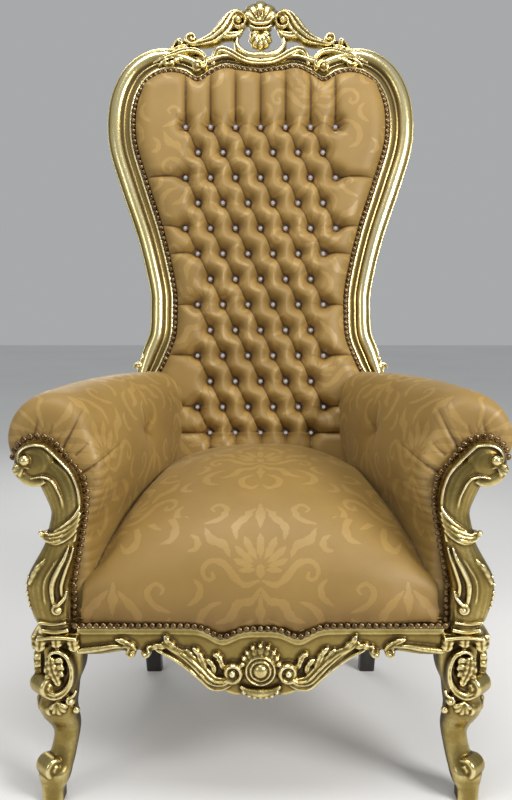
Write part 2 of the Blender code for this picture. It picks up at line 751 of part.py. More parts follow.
def seat_cushion():
    """Domed seat, full at its front edge, between the arms and over the rails."""
    back_y = BACK_Y - PAD_BULGE / math.cos(RAKE) - GAP
    side_start = SUPPORT_BACK_Y - GAP
    front_half = min(LEG_X - 0.53 * ARM_SUPPORT_WIDTH, leg_at_rails()[0] + 0.006) - GAP
    steps = [seat_y(share) for share, _, _ in SEAT_PROFILE]
    front = [y for y in steps if y < side_start - 2 * GAP]
    behind = [y for y in steps if side_start + SEAT_MARGIN < y < back_y - SEAT_MARGIN]
    stations = [(y, True) for y in front + [side_start - GAP]]
    stations += [(y, False) for y in [side_start] + behind + [back_y]]
    base = RAIL_TOP + GAP
    shares = np.array([-1, -0.94, -0.8, -0.6, -0.35, 0, 0.35, 0.6, 0.8, 0.94, 1])
    rings = []
    for y, before_arms in stations:
        crown_z, side_z = seat_heights(y)
        lean = math.tan(RAKE) if y == back_y else 0.0
        ring = []
        for share in shares:
            z = max(side_z + (crown_z - side_z) * (1 - abs(share) ** 2.6), base + 0.004)
            depth = y + lean * (z - base)
            half = front_half if before_arms else arm_inside(max(depth, SUPPORT_BACK_Y)) - GAP
            ring.append((share * half, depth, z))
        ring += [(x, y, base) for x, _, _ in ring[::-1]]
        rings.append(ring)
    return skin("seat_cushion", rings, DAMASK)


# Arms


def arm_support():
    """Right arm support: an S of carved wood that ends in a scroll under the arm's roll."""
    stations = [
        (-0.080, 0.000, 0.49),
        (0.120, 0.110, 0.48),
        (0.190, 0.215, 0.55),
        (0.165, 0.270, 0.555),
        (-0.065, 0.388, 0.455),
        (-0.180, 0.460, 0.405),
        (-0.265, 0.537, 0.40),
        (-0.345, 0.630, 0.36),
        (-0.300, 0.722, 0.42),
        (-0.130, 0.812, 0.42),
        (0.060, 0.870, 0.30),
    ]
    foot = LEG_HEIGHT + GAP
    points = [(LEG_X + x * ARM_SUPPORT_WIDTH, foot + z * ARM_SUPPORT_HEIGHT, half * ARM_SUPPORT_WIDTH)
              for x, z, half in stations]
    path = smooth_curve(points, 17)
    tangents = directions(path[:, :2])
    tangents[0] = (0, 1)
    section = ((-1.0, 1.0), (-1.0, 0.35), (-0.78, 0.08), (-0.30, 0.0), (0.30, 0.0), (0.78, 0.08),
               (1.0, 0.35), (1.0, 1.0))
    rings = []
    for (x, z, half), (tx, tz) in zip(path, tangents):
        rings.append([(x + tz * across * half, SUPPORT_FRONT_Y + depth * ARM_SUPPORT_DEPTH,
                       z - tx * across * half) for across, depth in section])
    for i, (x, y, z) in enumerate(rings[0]):
        rings[0][i] = (x, y, foot)
    support = skin("arm_support_right", rings, GILT)

    def on_support(x, z, d):
        return (x, SUPPORT_FRONT_Y - d, z)

    eye = (LEG_X + 0.36 * ARM_SUPPORT_WIDTH, foot + 0.890 * ARM_SUPPORT_HEIGHT)
    head_radius = 0.110 * ARM_SUPPORT_HEIGHT
    collar_z = foot + 0.56 * ARM_SUPPORT_HEIGHT
    waist = LEG_X - 0.31 * ARM_SUPPORT_WIDTH
    collar = smooth_curve([(waist - 0.034, collar_z + 0.012), (waist, collar_z - 0.008),
                           (waist + 0.036, collar_z + 0.002)], 6)
    pieces = [
        disc("head_scroll", eye, head_radius, on_support,
             ((0.97, 0.001 - ARM_SUPPORT_DEPTH), (1.0, -0.004), (0.86, 0.003), (0.66, 0.001),
              (0.44, -0.003), (0.30, 0.005)), sides=16),
        oval_tube("collar", collar, [0.005, 0.008, 0.010, 0.010, 0.008, 0.005], on_support, 0.009,
                  base=-0.020),
    ]
    return combine(support, pieces)


def between(front, back, y):
    """Size that runs evenly from the back of the arm supports to the foot of the chair's back."""
    return front + (y - SUPPORT_BACK_Y) / (BACK_Y - SUPPORT_BACK_Y) * (back - front)


def arm_inside(y):
    """x of the arm's inner face."""
    return between(ARM_INSIDE_FRONT, ARM_INSIDE_BACK, y)


def cushion_clearance():
    """Cutter for what ends on the back: the opening's outline, as deep as its cushion stands out."""
    rings = []
    for z in np.linspace(RAIL_TOP - 0.02, ROLL_Z_BACK + 2 * ROLL_RADIUS_BACK, 9):
        half = float(outline_side(max(z, RAIL_TOP))[0]) + 0.001
        rings.append([on_back(x, z, d) for x, d in ((0, PAD_BULGE + GAP), (half, PAD_BULGE + GAP),
                                                   (half, -PAD_BACK), (0, -PAD_BACK))])
    return skin("cushion_clearance", rings, DAMASK)


def arm_ring(share, swell):
    """Section of the right arm: upright inside, a roll over the top and a tucked outside."""
    front_y = SUPPORT_BACK_Y + GAP
    roll_z = ROLL_Z_FRONT + share * (ROLL_Z_BACK - ROLL_Z_FRONT) + ARM_CROWN * math.sin(math.pi * share)
    low = RAIL_TOP + GAP
    size = swell * (ROLL_RADIUS_FRONT + share * (ROLL_RADIUS_BACK - ROLL_RADIUS_FRONT))

    def y_at(z):
        plane = back_plane_y(z) - (FRAME_RELIEF + GAP) / math.cos(RAKE)
        return front_y + share * (plane - front_y)

    above_seat = seat_heights(y_at(SEAT_SIDE_Z))[1] + SEAT_MARGIN
    ring = [(arm_inside(y_at(z)), y_at(z), z) for z in (low, above_seat)]
    z = 0.5 * (above_seat + roll_z)
    ring.append((arm_inside(y_at(z)) - ARM_BULGE * (1 - share), y_at(z), z))
    for angle_deg in np.linspace(180, -72, 11):
        angle = math.radians(angle_deg)
        y = y_at(roll_z + size * math.sin(angle))
        radius = swell * between(ROLL_RADIUS_FRONT, ROLL_RADIUS_BACK, y)
        z = roll_z + radius * math.sin(angle)
        ring.append((between(ROLL_X_FRONT, ROLL_X_BACK, y) + radius * math.cos(angle), y_at(z), z))
    for z in (roll_z - 1.25 * size, low + 0.12, low):
        y = y_at(z)
        ring.append((arm_inside(y) + between(ARM_THICKNESS_FRONT, ARM_THICKNESS_BACK, y), y, z))
    return ring


def arm():
    """Upholstered right arm, full at the roll and drawn in at its front."""
    stations = ((0.0, 0.74), (0.012, 0.90), (0.04, 1.0), (0.17, 1.02), (0.36, 1.0), (0.58, 1.0),
                (0.80, 1.0), (1.0, 1.0))
    rings = [arm_ring(share, swell) for share, swell in stations]
    return combine(skin("arm_right", rings, DAMASK), [cushion_clearance()], "DIFFERENCE")


def centre_on_floor(pieces):
    """Moves every piece so that the chair's footprint is centred on the origin."""
    ys = [vertex.co.y for piece in pieces for vertex in piece.data.vertices]
    middle = (min(ys) + max(ys)) / 2
    for piece in pieces:
        for vertex in piece.data.vertices:
            vertex.co.y -= middle


def main():
    for old in list(bpy.data.objects):
        bpy.data.objects.remove(old)
    cushion, rim = back_cushion()
    pieces = [back_frame(), cushion, back_panel(rim), seat_rail_front(), seat_rail_back(), seat_cushion()]
    for make, left_name in (
        (side_rail, "seat_rail_left"),
        (front_leg, "front_leg_left"),
        (rear_leg, "rear_leg_left"),
        (arm_support, "arm_support_left"),
        (arm, "arm_left"),
    ):
        right = make()
        pieces += [right, mirror_copy(right, left_name)]
    centre_on_floor(pieces)


main()
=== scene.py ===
"""Looks of the gilt baroque throne armchair: carved gilt wood, damask, nails and crystal buttons."""

import math

import bmesh
import bpy
import numpy as np
from mathutils import Matrix, Vector


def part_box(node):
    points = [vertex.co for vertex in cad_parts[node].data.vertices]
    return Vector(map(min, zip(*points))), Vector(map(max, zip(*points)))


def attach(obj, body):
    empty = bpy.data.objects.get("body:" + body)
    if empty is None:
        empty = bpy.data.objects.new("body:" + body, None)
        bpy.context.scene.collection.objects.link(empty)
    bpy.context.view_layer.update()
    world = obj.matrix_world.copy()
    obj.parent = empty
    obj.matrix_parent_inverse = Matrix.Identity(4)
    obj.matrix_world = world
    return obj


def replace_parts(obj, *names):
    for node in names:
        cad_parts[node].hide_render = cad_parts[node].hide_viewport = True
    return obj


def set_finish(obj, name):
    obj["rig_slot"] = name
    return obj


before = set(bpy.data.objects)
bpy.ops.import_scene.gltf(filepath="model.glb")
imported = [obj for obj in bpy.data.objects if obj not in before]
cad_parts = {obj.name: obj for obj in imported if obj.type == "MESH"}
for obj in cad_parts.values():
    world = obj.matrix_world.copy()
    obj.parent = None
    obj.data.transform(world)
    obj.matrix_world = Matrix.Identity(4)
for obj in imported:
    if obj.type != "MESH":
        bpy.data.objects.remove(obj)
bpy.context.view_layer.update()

# Sizes of the chair, as its solids have them. Shapes are drawn with y = 0 at the front rail.
GAP = 0.0003
LEG_X = 0.4025
LEG_Y = 0.032
LEG_HEIGHT = 0.358
LEG_WIDTH = 0.086
RAIL_TOP = 0.372
RAIL_HEIGHT = 0.068
RAIL_THICKNESS = 0.03
APRON_DROP = 0.078
APRON_REACH = 0.215
APRON_FLAT = 0.062
CUSP_X = 0.076
CUSP_WIDTH = 0.03
CUSP_DEPTH = 0.02
SCALLOP_DROP = 0.01
BACK_Y = 0.578
RAKE = math.radians(9.65)
OPENING_HEIGHT = 1.249
OPENING_TOP = RAIL_TOP + OPENING_HEIGHT
SHOULDER_HALF = 0.347
WAIST_HALF = 0.233
HIP_HALF = 0.284
FRAME_WIDTH = 0.064
FRAME_THICKNESS = 0.036
FRAME_RELIEF = 0.017
BUTTON_PITCH = 0.067
BUTTON_ROWS = 13
TOP_BUTTON_Z = OPENING_TOP - 0.157
BUTTON_ROW = (TOP_BUTTON_Z - RAIL_TOP - 0.283) / (BUTTON_ROWS - 1)
PAD_EDGE = 0.004
PAD_BULGE = 0.036
PAD_BACK = 0.018
PANEL_THICKNESS = 0.012
SUPPORT_HEIGHT = 0.383
SUPPORT_WIDTH = 0.078
SUPPORT_DEPTH = 0.042
SUPPORT_FRONT_Y = -0.012
SUPPORT_BACK_Y = 0.03
ARM_INSIDE_FRONT = 0.337
ARM_INSIDE_BACK = 0.218
ARM_THICKNESS_FRONT = 0.068
ARM_THICKNESS_BACK = 0.106
ROLL_X_FRONT = 0.416
ROLL_X_BACK = 0.287
ROLL_Z_FRONT = LEG_HEIGHT + 0.984 * SUPPORT_HEIGHT
ROLL_Z_BACK = ROLL_Z_FRONT + 0.012
ROLL_RADIUS_FRONT = 0.09
ROLL_RADIUS_BACK = 0.073
ARM_CROWN = 0.012
ARM_BULGE = 0.03
SEAT_DEPTH = 0.56
SEAT_OVERHANG = 0.01
SEAT_CROWN_Z = RAIL_TOP + 0.268
SEAT_SIDE_Z = RAIL_TOP + 0.218
SHIFT_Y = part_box("seat_cushion")[0][1] + SEAT_OVERHANG

# Camera of the photograph, which looks slightly down
CAMERA_PLACE = (0, -1.952, 1.01)
CAMERA_DIP = 0.138
LENS_MM = 58.08
LENS_SHIFT = (-0.0088, 0.0254)

# Direction in which the back faces
BACK_FACING = (0, -math.cos(RAKE), math.sin(RAKE))

# Side of the cubes that carvings are melted into
CARVING_VOXEL = 0.0018
CREST_VOXEL = 0.00172

# Upholstery nails
NAIL_RADIUS = 0.0067
NAIL_PITCH = 0.0138
BACK_NAIL_PITCH = 0.0144


# Curves


def smooth_curve(points, count, axes=2):
    """Catmull-Rom curve through the points, cut into equal steps measured on the first axes."""
    knots = np.array(points, float)
    ends = np.vstack([2 * knots[0] - knots[1], knots, 2 * knots[-1] - knots[-2]])
    t = np.linspace(0, 1, 16, endpoint=False)[:, None]
    spans = []
    for a, b, c, d in zip(ends, ends[1:], ends[2:], ends[3:]):
        spans.append(
            0.5 * (2 * b + (c - a) * t + (2 * a - 5 * b + 4 * c - d) * t**2 + (3 * b - a - 3 * c + d) * t**3)
        )
    dense = np.vstack(spans + [knots[-1:]])
    steps = np.linalg.norm(np.diff(dense[:, :axes], axis=0), axis=1)
    along = np.concatenate([[0], np.cumsum(steps)])
    wanted = np.linspace(0, along[-1], count)
    return np.column_stack([np.interp(wanted, along, column) for column in dense.T])


def directions(path):
    """Unit tangents of a path."""
    tangents = np.gradient(path, axis=0)
    return tangents / np.linalg.norm(tangents, axis=1)[:, None]


def spread(values, count):
    """The values, spaced evenly over count stations."""
    return np.interp(np.linspace(0, 1, count), np.linspace(0, 1, len(values)), values)


def whole(right):
    """The right half of a symmetric line, followed by its reflection."""
    return np.vstack([right, right[-2::-1] * ([-1] + [1] * (right.shape[1] - 1))])


def smooth_step(value, low, high):
    """Rises from 0 at low to 1 at high, level at both ends."""
    t = np.clip((value - low) / (high - low), 0, 1)
    return t * t * (3 - 2 * t)


def curl(centre, radius, leave_deg, turns, inner=0.22, count=16):
    """Spiral from a scroll's eye outwards to its full radius. Turns below 0 run clockwise."""
    t = np.linspace(0, 1, count)
    angle = math.radians(leave_deg) - (1 - t) * turns * 2 * math.pi
    reach = radius * (inner + (1 - inner) * t)
    return [(centre[0] + r * math.cos(a), centre[1] + r * math.sin(a)) for r, a in zip(reach, angle)]


# Places on the chair


def back_plane_y(z):
    return BACK_Y + math.tan(RAKE) * (z - RAIL_TOP)


def on_back(x, z, d):
    """Points d in front of the raked plane of the back."""
    x, z, d = np.broadcast_arrays(x, z, d)
    return np.stack([x, back_plane_y(z) - d * math.cos(RAKE), z + d * math.sin(RAKE)], axis=-1)


def on_crest(x, h, d):
    return on_back(x, OPENING_TOP + np.asarray(h), d)


def on_front(x, z, d):
    """Points d in front of the seat rail."""
    x, z, d = np.broadcast_arrays(x, z, d)
    return np.stack([x, -d, z], axis=-1)


def on_knee(x, z, d):
    """Points d in front of the knee of the right front leg."""
    return on_front(x, z, d) + [0, LEG_Y - 0.47 * LEG_WIDTH, 0]


def on_knee_side(x, z, d):
    """The same points on the outer side of the leg, which is the same on both faces."""
    points = on_knee(x, z, d)
    return np.stack([LEG_X - (points[..., 1] - LEG_Y), LEG_Y - (points[..., 0] - LEG_X), points[..., 2]],
                    axis=-1)


def on_support(x, z, d):
    return on_front(x, z, d) + [0, SUPPORT_FRONT_Y, 0]


def apron_top(x):
    """Upper edge of the front rail, with its two cusps."""
    cusps = CUSP_DEPTH * np.exp(-(((np.abs(x) - CUSP_X) / CUSP_WIDTH) ** 2))
    return RAIL_TOP - cusps - 0.3 * CUSP_DEPTH * np.exp(-((x / CUSP_X) ** 2))


def apron_bottom(x):
    """Lower edge of the front rail: level at the ends, dropping to the carved centre."""
    t = np.clip((APRON_REACH - np.abs(x)) / (APRON_REACH - APRON_FLAT), 0, 1)
    return RAIL_TOP - RAIL_HEIGHT - APRON_DROP * t * t * (3 - 2 * t)


def back_outline():
    """Right half of the opening in the back frame, bottom to top, with the moulding's width."""
    side = SHOULDER_HALF - WAIST_HALF
    shares = [
        (HIP_HALF - 0.012, 0.0, 0.86),
        (HIP_HALF, 0.14, 0.82),
        (HIP_HALF + 0.005, 0.26, 0.78),
        (HIP_HALF, 0.335, 0.76),
        (WAIST_HALF + 0.26 * side, 0.375, 0.92),
        (WAIST_HALF + 0.04 * side, 0.427, 0.94),
        (WAIST_HALF, 0.485, 0.94),
        (WAIST_HALF + 0.04 * side, 0.541, 0.94),
        (WAIST_HALF + 0.3 * side, 0.645, 0.97),
        (WAIST_HALF + 0.69 * side, 0.757, 1.02),
        (WAIST_HALF + 0.94 * side, 0.831, 1.02),
        (SHOULDER_HALF, 0.883, 1.01),
        (SHOULDER_HALF * 0.98, 0.931, 0.99),
        (SHOULDER_HALF * 0.916, 0.97, 0.97),
        (SHOULDER_HALF * 0.816, 0.993, 0.94),
        (SHOULDER_HALF * 0.706, 1.001, 0.85),
        (SHOULDER_HALF * 0.591, 0.9965, 0.72),
        (SHOULDER_HALF * 0.488, 0.981, 0.8),
        (SHOULDER_HALF * 0.388, 0.998, 0.55),
        (SHOULDER_HALF * 0.274, 1.01, 0.47),
        (SHOULDER_HALF * 0.144, 1.005, 0.48),
        (0.0, 1.0, 0.48),
    ]
    points = [(x, RAIL_TOP + share * OPENING_HEIGHT, width * FRAME_WIDTH) for x, share, width in shares]
    return smooth_curve(points, 400)


OUTLINE = back_outline()
CORNER_Z = RAIL_TOP + 0.97 * OPENING_HEIGHT
CORNER = int(np.argmax(OUTLINE[:, 1] >= CORNER_Z))


def outline_side(z):
    """Half width of the opening at a height below the corner."""
    part = OUTLINE[: CORNER + 1]
    return np.interp(z, part[:, 1], part[:, 0])


def outline_top(x):
    """Height of the opening at a distance from the middle."""
    part = OUTLINE[CORNER:][::-1]
    return np.interp(np.abs(x), part[:, 0], part[:, 1])


# Working of the pieces


def skin(bm, rows, closed=True, capped=True):
    """Surface through rows of points: a grid whose sides are welded into a tube, its ends filled."""
    rows = np.asarray(rows, float)
    count, around = rows.shape[:2]
    if closed:
        rows = np.concatenate([rows, rows[:, :1]], axis=1)
    width = rows.shape[1]
    grid = bmesh.ops.create_grid(bm, x_segments=width - 1, y_segments=count - 1, size=1)["verts"]
    for vertex, point in zip(grid, rows.reshape(-1, 3)):
        vertex.co = point
    if closed:
        seam = {grid[row * width + around]: grid[row * width] for row in range(count)}
        bmesh.ops.weld_verts(bm, targetmap=seam)
        grid = [vertex for vertex in grid if vertex.is_valid]
    if capped:
        rim = {edge for vertex in grid for edge in vertex.link_edges if edge.is_boundary}
        bmesh.ops.holes_fill(bm, edges=list(rim), sides=0)
    return grid


def coordinates(mesh):
    points = np.empty(len(mesh.vertices) * 3)
    mesh.vertices.foreach_get("co", points)
    return points.reshape(-1, 3)


def set_coordinates(mesh, points):
    mesh.vertices.foreach_set("co", np.ascontiguousarray(points, float).ravel())
    mesh.update()


def normals(mesh):
    found = np.empty(len(mesh.vertices) * 3)
    mesh.vertex_normals.foreach_get("vector", found)
    return found.reshape(-1, 3)


def store(mesh, name, values):
    """Keeps a value for every point of the mesh, for its material to read."""
    attribute = mesh.attributes.get(name) or mesh.attributes.new(name, "FLOAT", "POINT")
    attribute.data.foreach_set("value", np.ascontiguousarray(values, float))


def stored(mesh, name):
    values = np.empty(len(mesh.vertices))
    mesh.attributes[name].data.foreach_get("value", values)
    return values


def blurred(mesh, values, rounds):
    """Values averaged with those of neighbouring points, several times over."""
    edges = np.empty(len(mesh.edges) * 2, dtype=np.int32)
    mesh.edges.foreach_get("vertices", edges)
    first, second = edges.reshape(-1, 2).T
    size = len(mesh.vertices)
    links = np.bincount(first, minlength=size) + np.bincount(second, minlength=size) + 1
    for _ in range(rounds):
        total = values.copy()
        for axis in range(values.shape[1]):
            total[:, axis] += np.bincount(first, weights=values[second, axis], minlength=size)
            total[:, axis] += np.bincount(second, weights=values[first, axis], minlength=size)
        values = total / links[:, None]
    return values


def mark_relief_shade(mesh, rounds=8, depth=0.0012):
    """Marks hollows near 1, flat ground 0.5 and raised edges near 0: the finishes paint shade into the
    hollows and highlights onto the raised edges, and on the gilt the ochre bole also shows in the hollows.
    """
    points = coordinates(mesh)
    lift = ((blurred(mesh, points, rounds) - points) * normals(mesh)).sum(axis=1)
    store(mesh, "relief_shade", np.clip(0.5 + 0.5 * lift / depth, 0, 1))


def add_painted_shade(mesh, extra):
    """Paints more shade on places that light can't reach."""
    store(mesh, "relief_shade", np.clip(stored(mesh, "relief_shade") + extra, 0, 1))


def linked(name, data):
    """New object in the scene, for a mesh, a light or a camera."""
    thing = bpy.data.objects.new(name, data)
    bpy.context.scene.collection.objects.link(thing)
    return thing


def mesh_from(bm, name, material):
    mesh = bpy.data.meshes.new(name)
    bm.to_mesh(mesh)
    bm.free()
    mesh.materials.append(material)
    return mesh


def piece_from(bm, name, material, slot=None):
    """Finished piece: normals outwards, moved from the drawing to its place on the chair."""
    bmesh.ops.recalc_face_normals(bm, faces=bm.faces)
    bmesh.ops.translate(bm, verts=bm.verts, vec=(0, SHIFT_Y, 0))
    mesh = mesh_from(bm, name, material)
    mesh.shade_smooth()
    piece = linked(name, mesh)
    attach(piece, "root")
    if slot:
        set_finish(piece, slot)
    return piece


def cut_caps(bm):
    """Cuts the many-sided caps of a piece into triangles."""
    bmesh.ops.triangulate(bm, faces=[face for face in bm.faces if len(face.verts) > 4])


def evaluated_mesh(piece):
    """Puts a piece's modifiers into its mesh."""
    bpy.context.view_layer.update()
    mesh = bpy.data.meshes.new_from_object(piece.evaluated_get(bpy.context.evaluated_depsgraph_get()))
    mesh.name = piece.name
    piece.modifiers.clear()
    piece.data = mesh
    return mesh


def remeshed(piece, voxel):
    """Turns a piece into one even skin."""
    remesh = piece.modifiers.new("remesh", "REMESH")
    remesh.mode = "VOXEL"
    remesh.voxel_size = voxel
    remesh.use_smooth_shade = True
    return evaluated_mesh(piece)


def subdivided(piece):
    """Puts one level of subdivision into a piece's mesh."""
    subdivide = piece.modifiers.new("subdivide", "SUBSURF")
    subdivide.levels = 1
    subdivide.render_levels = 1
    return evaluated_mesh(piece)


def soften(mesh, rounds):
    """Rounds off a mesh by moving its points towards their neighbours."""
    bm = bmesh.new()
    bm.from_mesh(mesh)
    for _ in range(rounds):
        bmesh.ops.smooth_vert(bm, verts=bm.verts, factor=0.5, use_axis_x=True, use_axis_y=True,
                              use_axis_z=True)
    bm.to_mesh(mesh)
    bm.free()


def melt(piece, voxel=CARVING_VOXEL, lowest=None):
    """Melts the strokes of a carving into one skin, softens it as gesso does and stands it on its ground."""
    mesh = remeshed(piece, voxel)
    soften(mesh, 2)
    mark_relief_shade(mesh)
    if lowest is not None:
        points = coordinates(mesh)
        points[:, 2] = np.maximum(points[:, 2], lowest)
        set_coordinates(mesh, points)
    return mesh


def left_copy(piece, name):
    """The same piece on the other side of the chair."""
    bm = bmesh.new()
    bm.from_mesh(piece.data)
    bmesh.ops.scale(bm, vec=(-1, 1, 1), verts=bm.verts)
    bmesh.ops.reverse_faces(bm, faces=bm.faces)
    mesh = piece.data.copy()
    bm.to_mesh(mesh)
    bm.free()
    copy = linked(name, mesh)
    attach(copy, "root")
    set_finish(copy, piece["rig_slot"])
    return copy


# Strokes of the carver


def ribbon(bm, path, halves, heights, place, flutes=0, base=-0.006, across_steps=13):
    """Carved band with a domed or fluted face: place(u, v, d) puts it on the chair."""
    path = np.asarray(path, float)
    count = len(path)
    halves = spread(halves, count)[:, None]
    heights = spread(heights, count)[:, None]
    tangents = directions(path)
    across = np.linspace(-1, 1, across_steps)[None, :]
    dome = np.sqrt(1 - 0.97 * across**2)
    if flutes:
        dome = dome * (0.62 + 0.38 * np.abs(np.sin(0.5 * math.pi * flutes * (across + 1))) ** 0.7)
    u = path[:, :1] - tangents[:, 1:] * across * halves
    v = path[:, 1:2] + tangents[:, :1] * across * halves
    face = place(u, v, dome * heights)
    back = place(u[:, ::-1], v[:, ::-1], base + 0 * u)
    skin(bm, np.concatenate([face, back], axis=1))


def stroke(bm, points, count, halves, heights, place, **shape):
    """Ribbon along a smooth curve through a few points."""
    ribbon(bm, smooth_curve(points, count), halves, heights, place, **shape)


def scroll(bm, eye, radius, leave_deg, turns, body, halves, heights, place, flutes=0, count=44, inner=0.3):
    """Band that unrolls from a volute and runs on through the body's points."""
    path = smooth_curve(curl(eye, radius, leave_deg, turns, inner) + list(body), count)
    ribbon(bm, path, halves, heights, place, flutes)
    boss(bm, eye, 0.46 * radius, ((1.0, -0.004), (0.96, 0.7), (0.7, 1.0), (0.3, 1.15)), max(heights), place)


def leaves(bm, place, table):
    """Acanthus leaves, each from a row of its points, half width, height and number of lobes."""
    for points, width, height, lobes in table:
        leaf(bm, points, width, height, place, lobes)


def leaf(bm, path, width, height, place, lobes, count=26):
    """Acanthus leaf with a lobed edge and a grooved middle."""
    path = smooth_curve(path, count)
    t = np.linspace(0, 1, count)
    edge = np.sin(math.pi * np.clip(0.1 + 0.86 * t, 0, 1)) ** 0.45
    edge *= 0.76 + 0.24 * np.abs(np.sin(math.pi * lobes * t))
    ribbon(bm, path, np.maximum(width * edge, 0.0018), height * (0.45 + 0.55 * edge), place, flutes=2)


def boss(bm, centre, radius, profile, height, place, sides=20):
    """Turned boss: profile gives shares of its radius and of its height, from the ground up."""
    angle = np.linspace(0, 2 * math.pi, sides, endpoint=False)
    rows = []
    for share, rise in profile:
        depth = rise if rise < 0 else rise * height
        rows.append(place(centre[0] + share * radius * np.cos(angle),
                          centre[1] + share * radius * np.sin(angle), depth + 0 * angle))
    skin(bm, rows)


def dome(bm, centre, radius, height, place):
    """Small round bead."""
    t = np.linspace(0, 0.46 * math.pi, 6)
    boss(bm, centre, radius, [(1.0, -0.004)] + [(math.cos(a), math.sin(a)) for a in t], height, place,
         sides=14)


def fan(bm, root, angles_deg, reaches, half, height, place, blunt=0.25):
    """Shell lobes that spread from a root."""
    for angle_deg, reach in zip(angles_deg, reaches):
        angle = math.radians(angle_deg)
        t = np.linspace(0, 1, 14)[:, None]
        path = np.array(root) + t * reach * np.array([math.cos(angle), math.sin(angle)])
        ribbon(bm, path, half * np.array([0.25, 0.6, 0.9, 1.0, 0.5 + 0.5 * blunt + 0.25, blunt]),
               height * np.array([0.5, 0.8, 0.95, 1.0, 0.9, 0.4]), place)


def mirrored(points):
    """The points and their reflections, as one path from left to right. The first point is on the middle."""
    return [(-u, v) for u, v in points[:0:-1]] + list(points)


def reflected(place, side):
    """A place whose first coordinate is turned over for the left side."""
    def there(u, v, d):
        return place(side * np.asarray(u), v, d)
    return there


# Gilt frame of the back

MOULDING = (
    (0.0, 0.0), (0.008, 0.3), (0.045, 0.4), (0.085, 0.36), (0.11, 0.28), (0.135, 0.26), (0.2, 0.27),
    (0.25, 0.31), (0.275, 0.42), (0.305, 0.49), (0.335, 0.46), (0.355, 0.4), (0.385, 0.44), (0.43, 0.66),
    (0.49, 0.87), (0.56, 1.0), (0.64, 1.05), (0.72, 1.02), (0.79, 0.93), (0.85, 0.79), (0.893, 0.64),
    (0.915, 0.56), (0.938, 0.55), (0.965, 0.58), (0.985, 0.52), (1.0, 0.34), (1.004, 0.0),
)
# Shade of the gold on the frame's plain sides and back, and the painted highlight that makes the whole crest
# paler
PLAIN_SHADE = 0.46
CREST_PAINTED_LIGHT = -0.16


def back_moulding(material):
    """Frame of the back: a bead, a cove, a broad roll and an edge line, swept round the opening."""
    right = OUTLINE[np.linspace(0, len(OUTLINE) - 1, 150).astype(int)]
    path = whole(right)
    tangents = directions(path[:, :2])
    across = np.array([n for n, _ in MOULDING] + [0.99, 0.96, 0.5, 0.0])
    depth = np.array([d * FRAME_RELIEF for _, d in MOULDING]
                     + [-0.7 * FRAME_THICKNESS, -FRAME_THICKNESS, -FRAME_THICKNESS, -FRAME_THICKNESS])
    x = path[:, :1] + tangents[:, 1:] * across * path[:, 2:]
    z = path[:, 1:2] - tangents[:, :1] * across * path[:, 2:]
    rows = on_back(x, z, depth[None, :])
    foot = RAIL_TOP + GAP
    for row in (rows[0], rows[-1]):
        row[:, 1] += math.tan(RAKE) * (foot - row[:, 2])
        row[:, 2] = foot
    bm = bmesh.new()
    skin(bm, rows)
    moulding = piece_from(bm, "gilt_back_moulding", material, "gilt_wood")
    mesh = moulding.data
    mark_relief_shade(mesh, rounds=4, depth=0.0016)
    store(mesh, "relief_shade", np.where(normals(mesh)[:, 1] > -0.25, PLAIN_SHADE, stored(mesh, "relief_shade")))
    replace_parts(moulding, "back_frame")


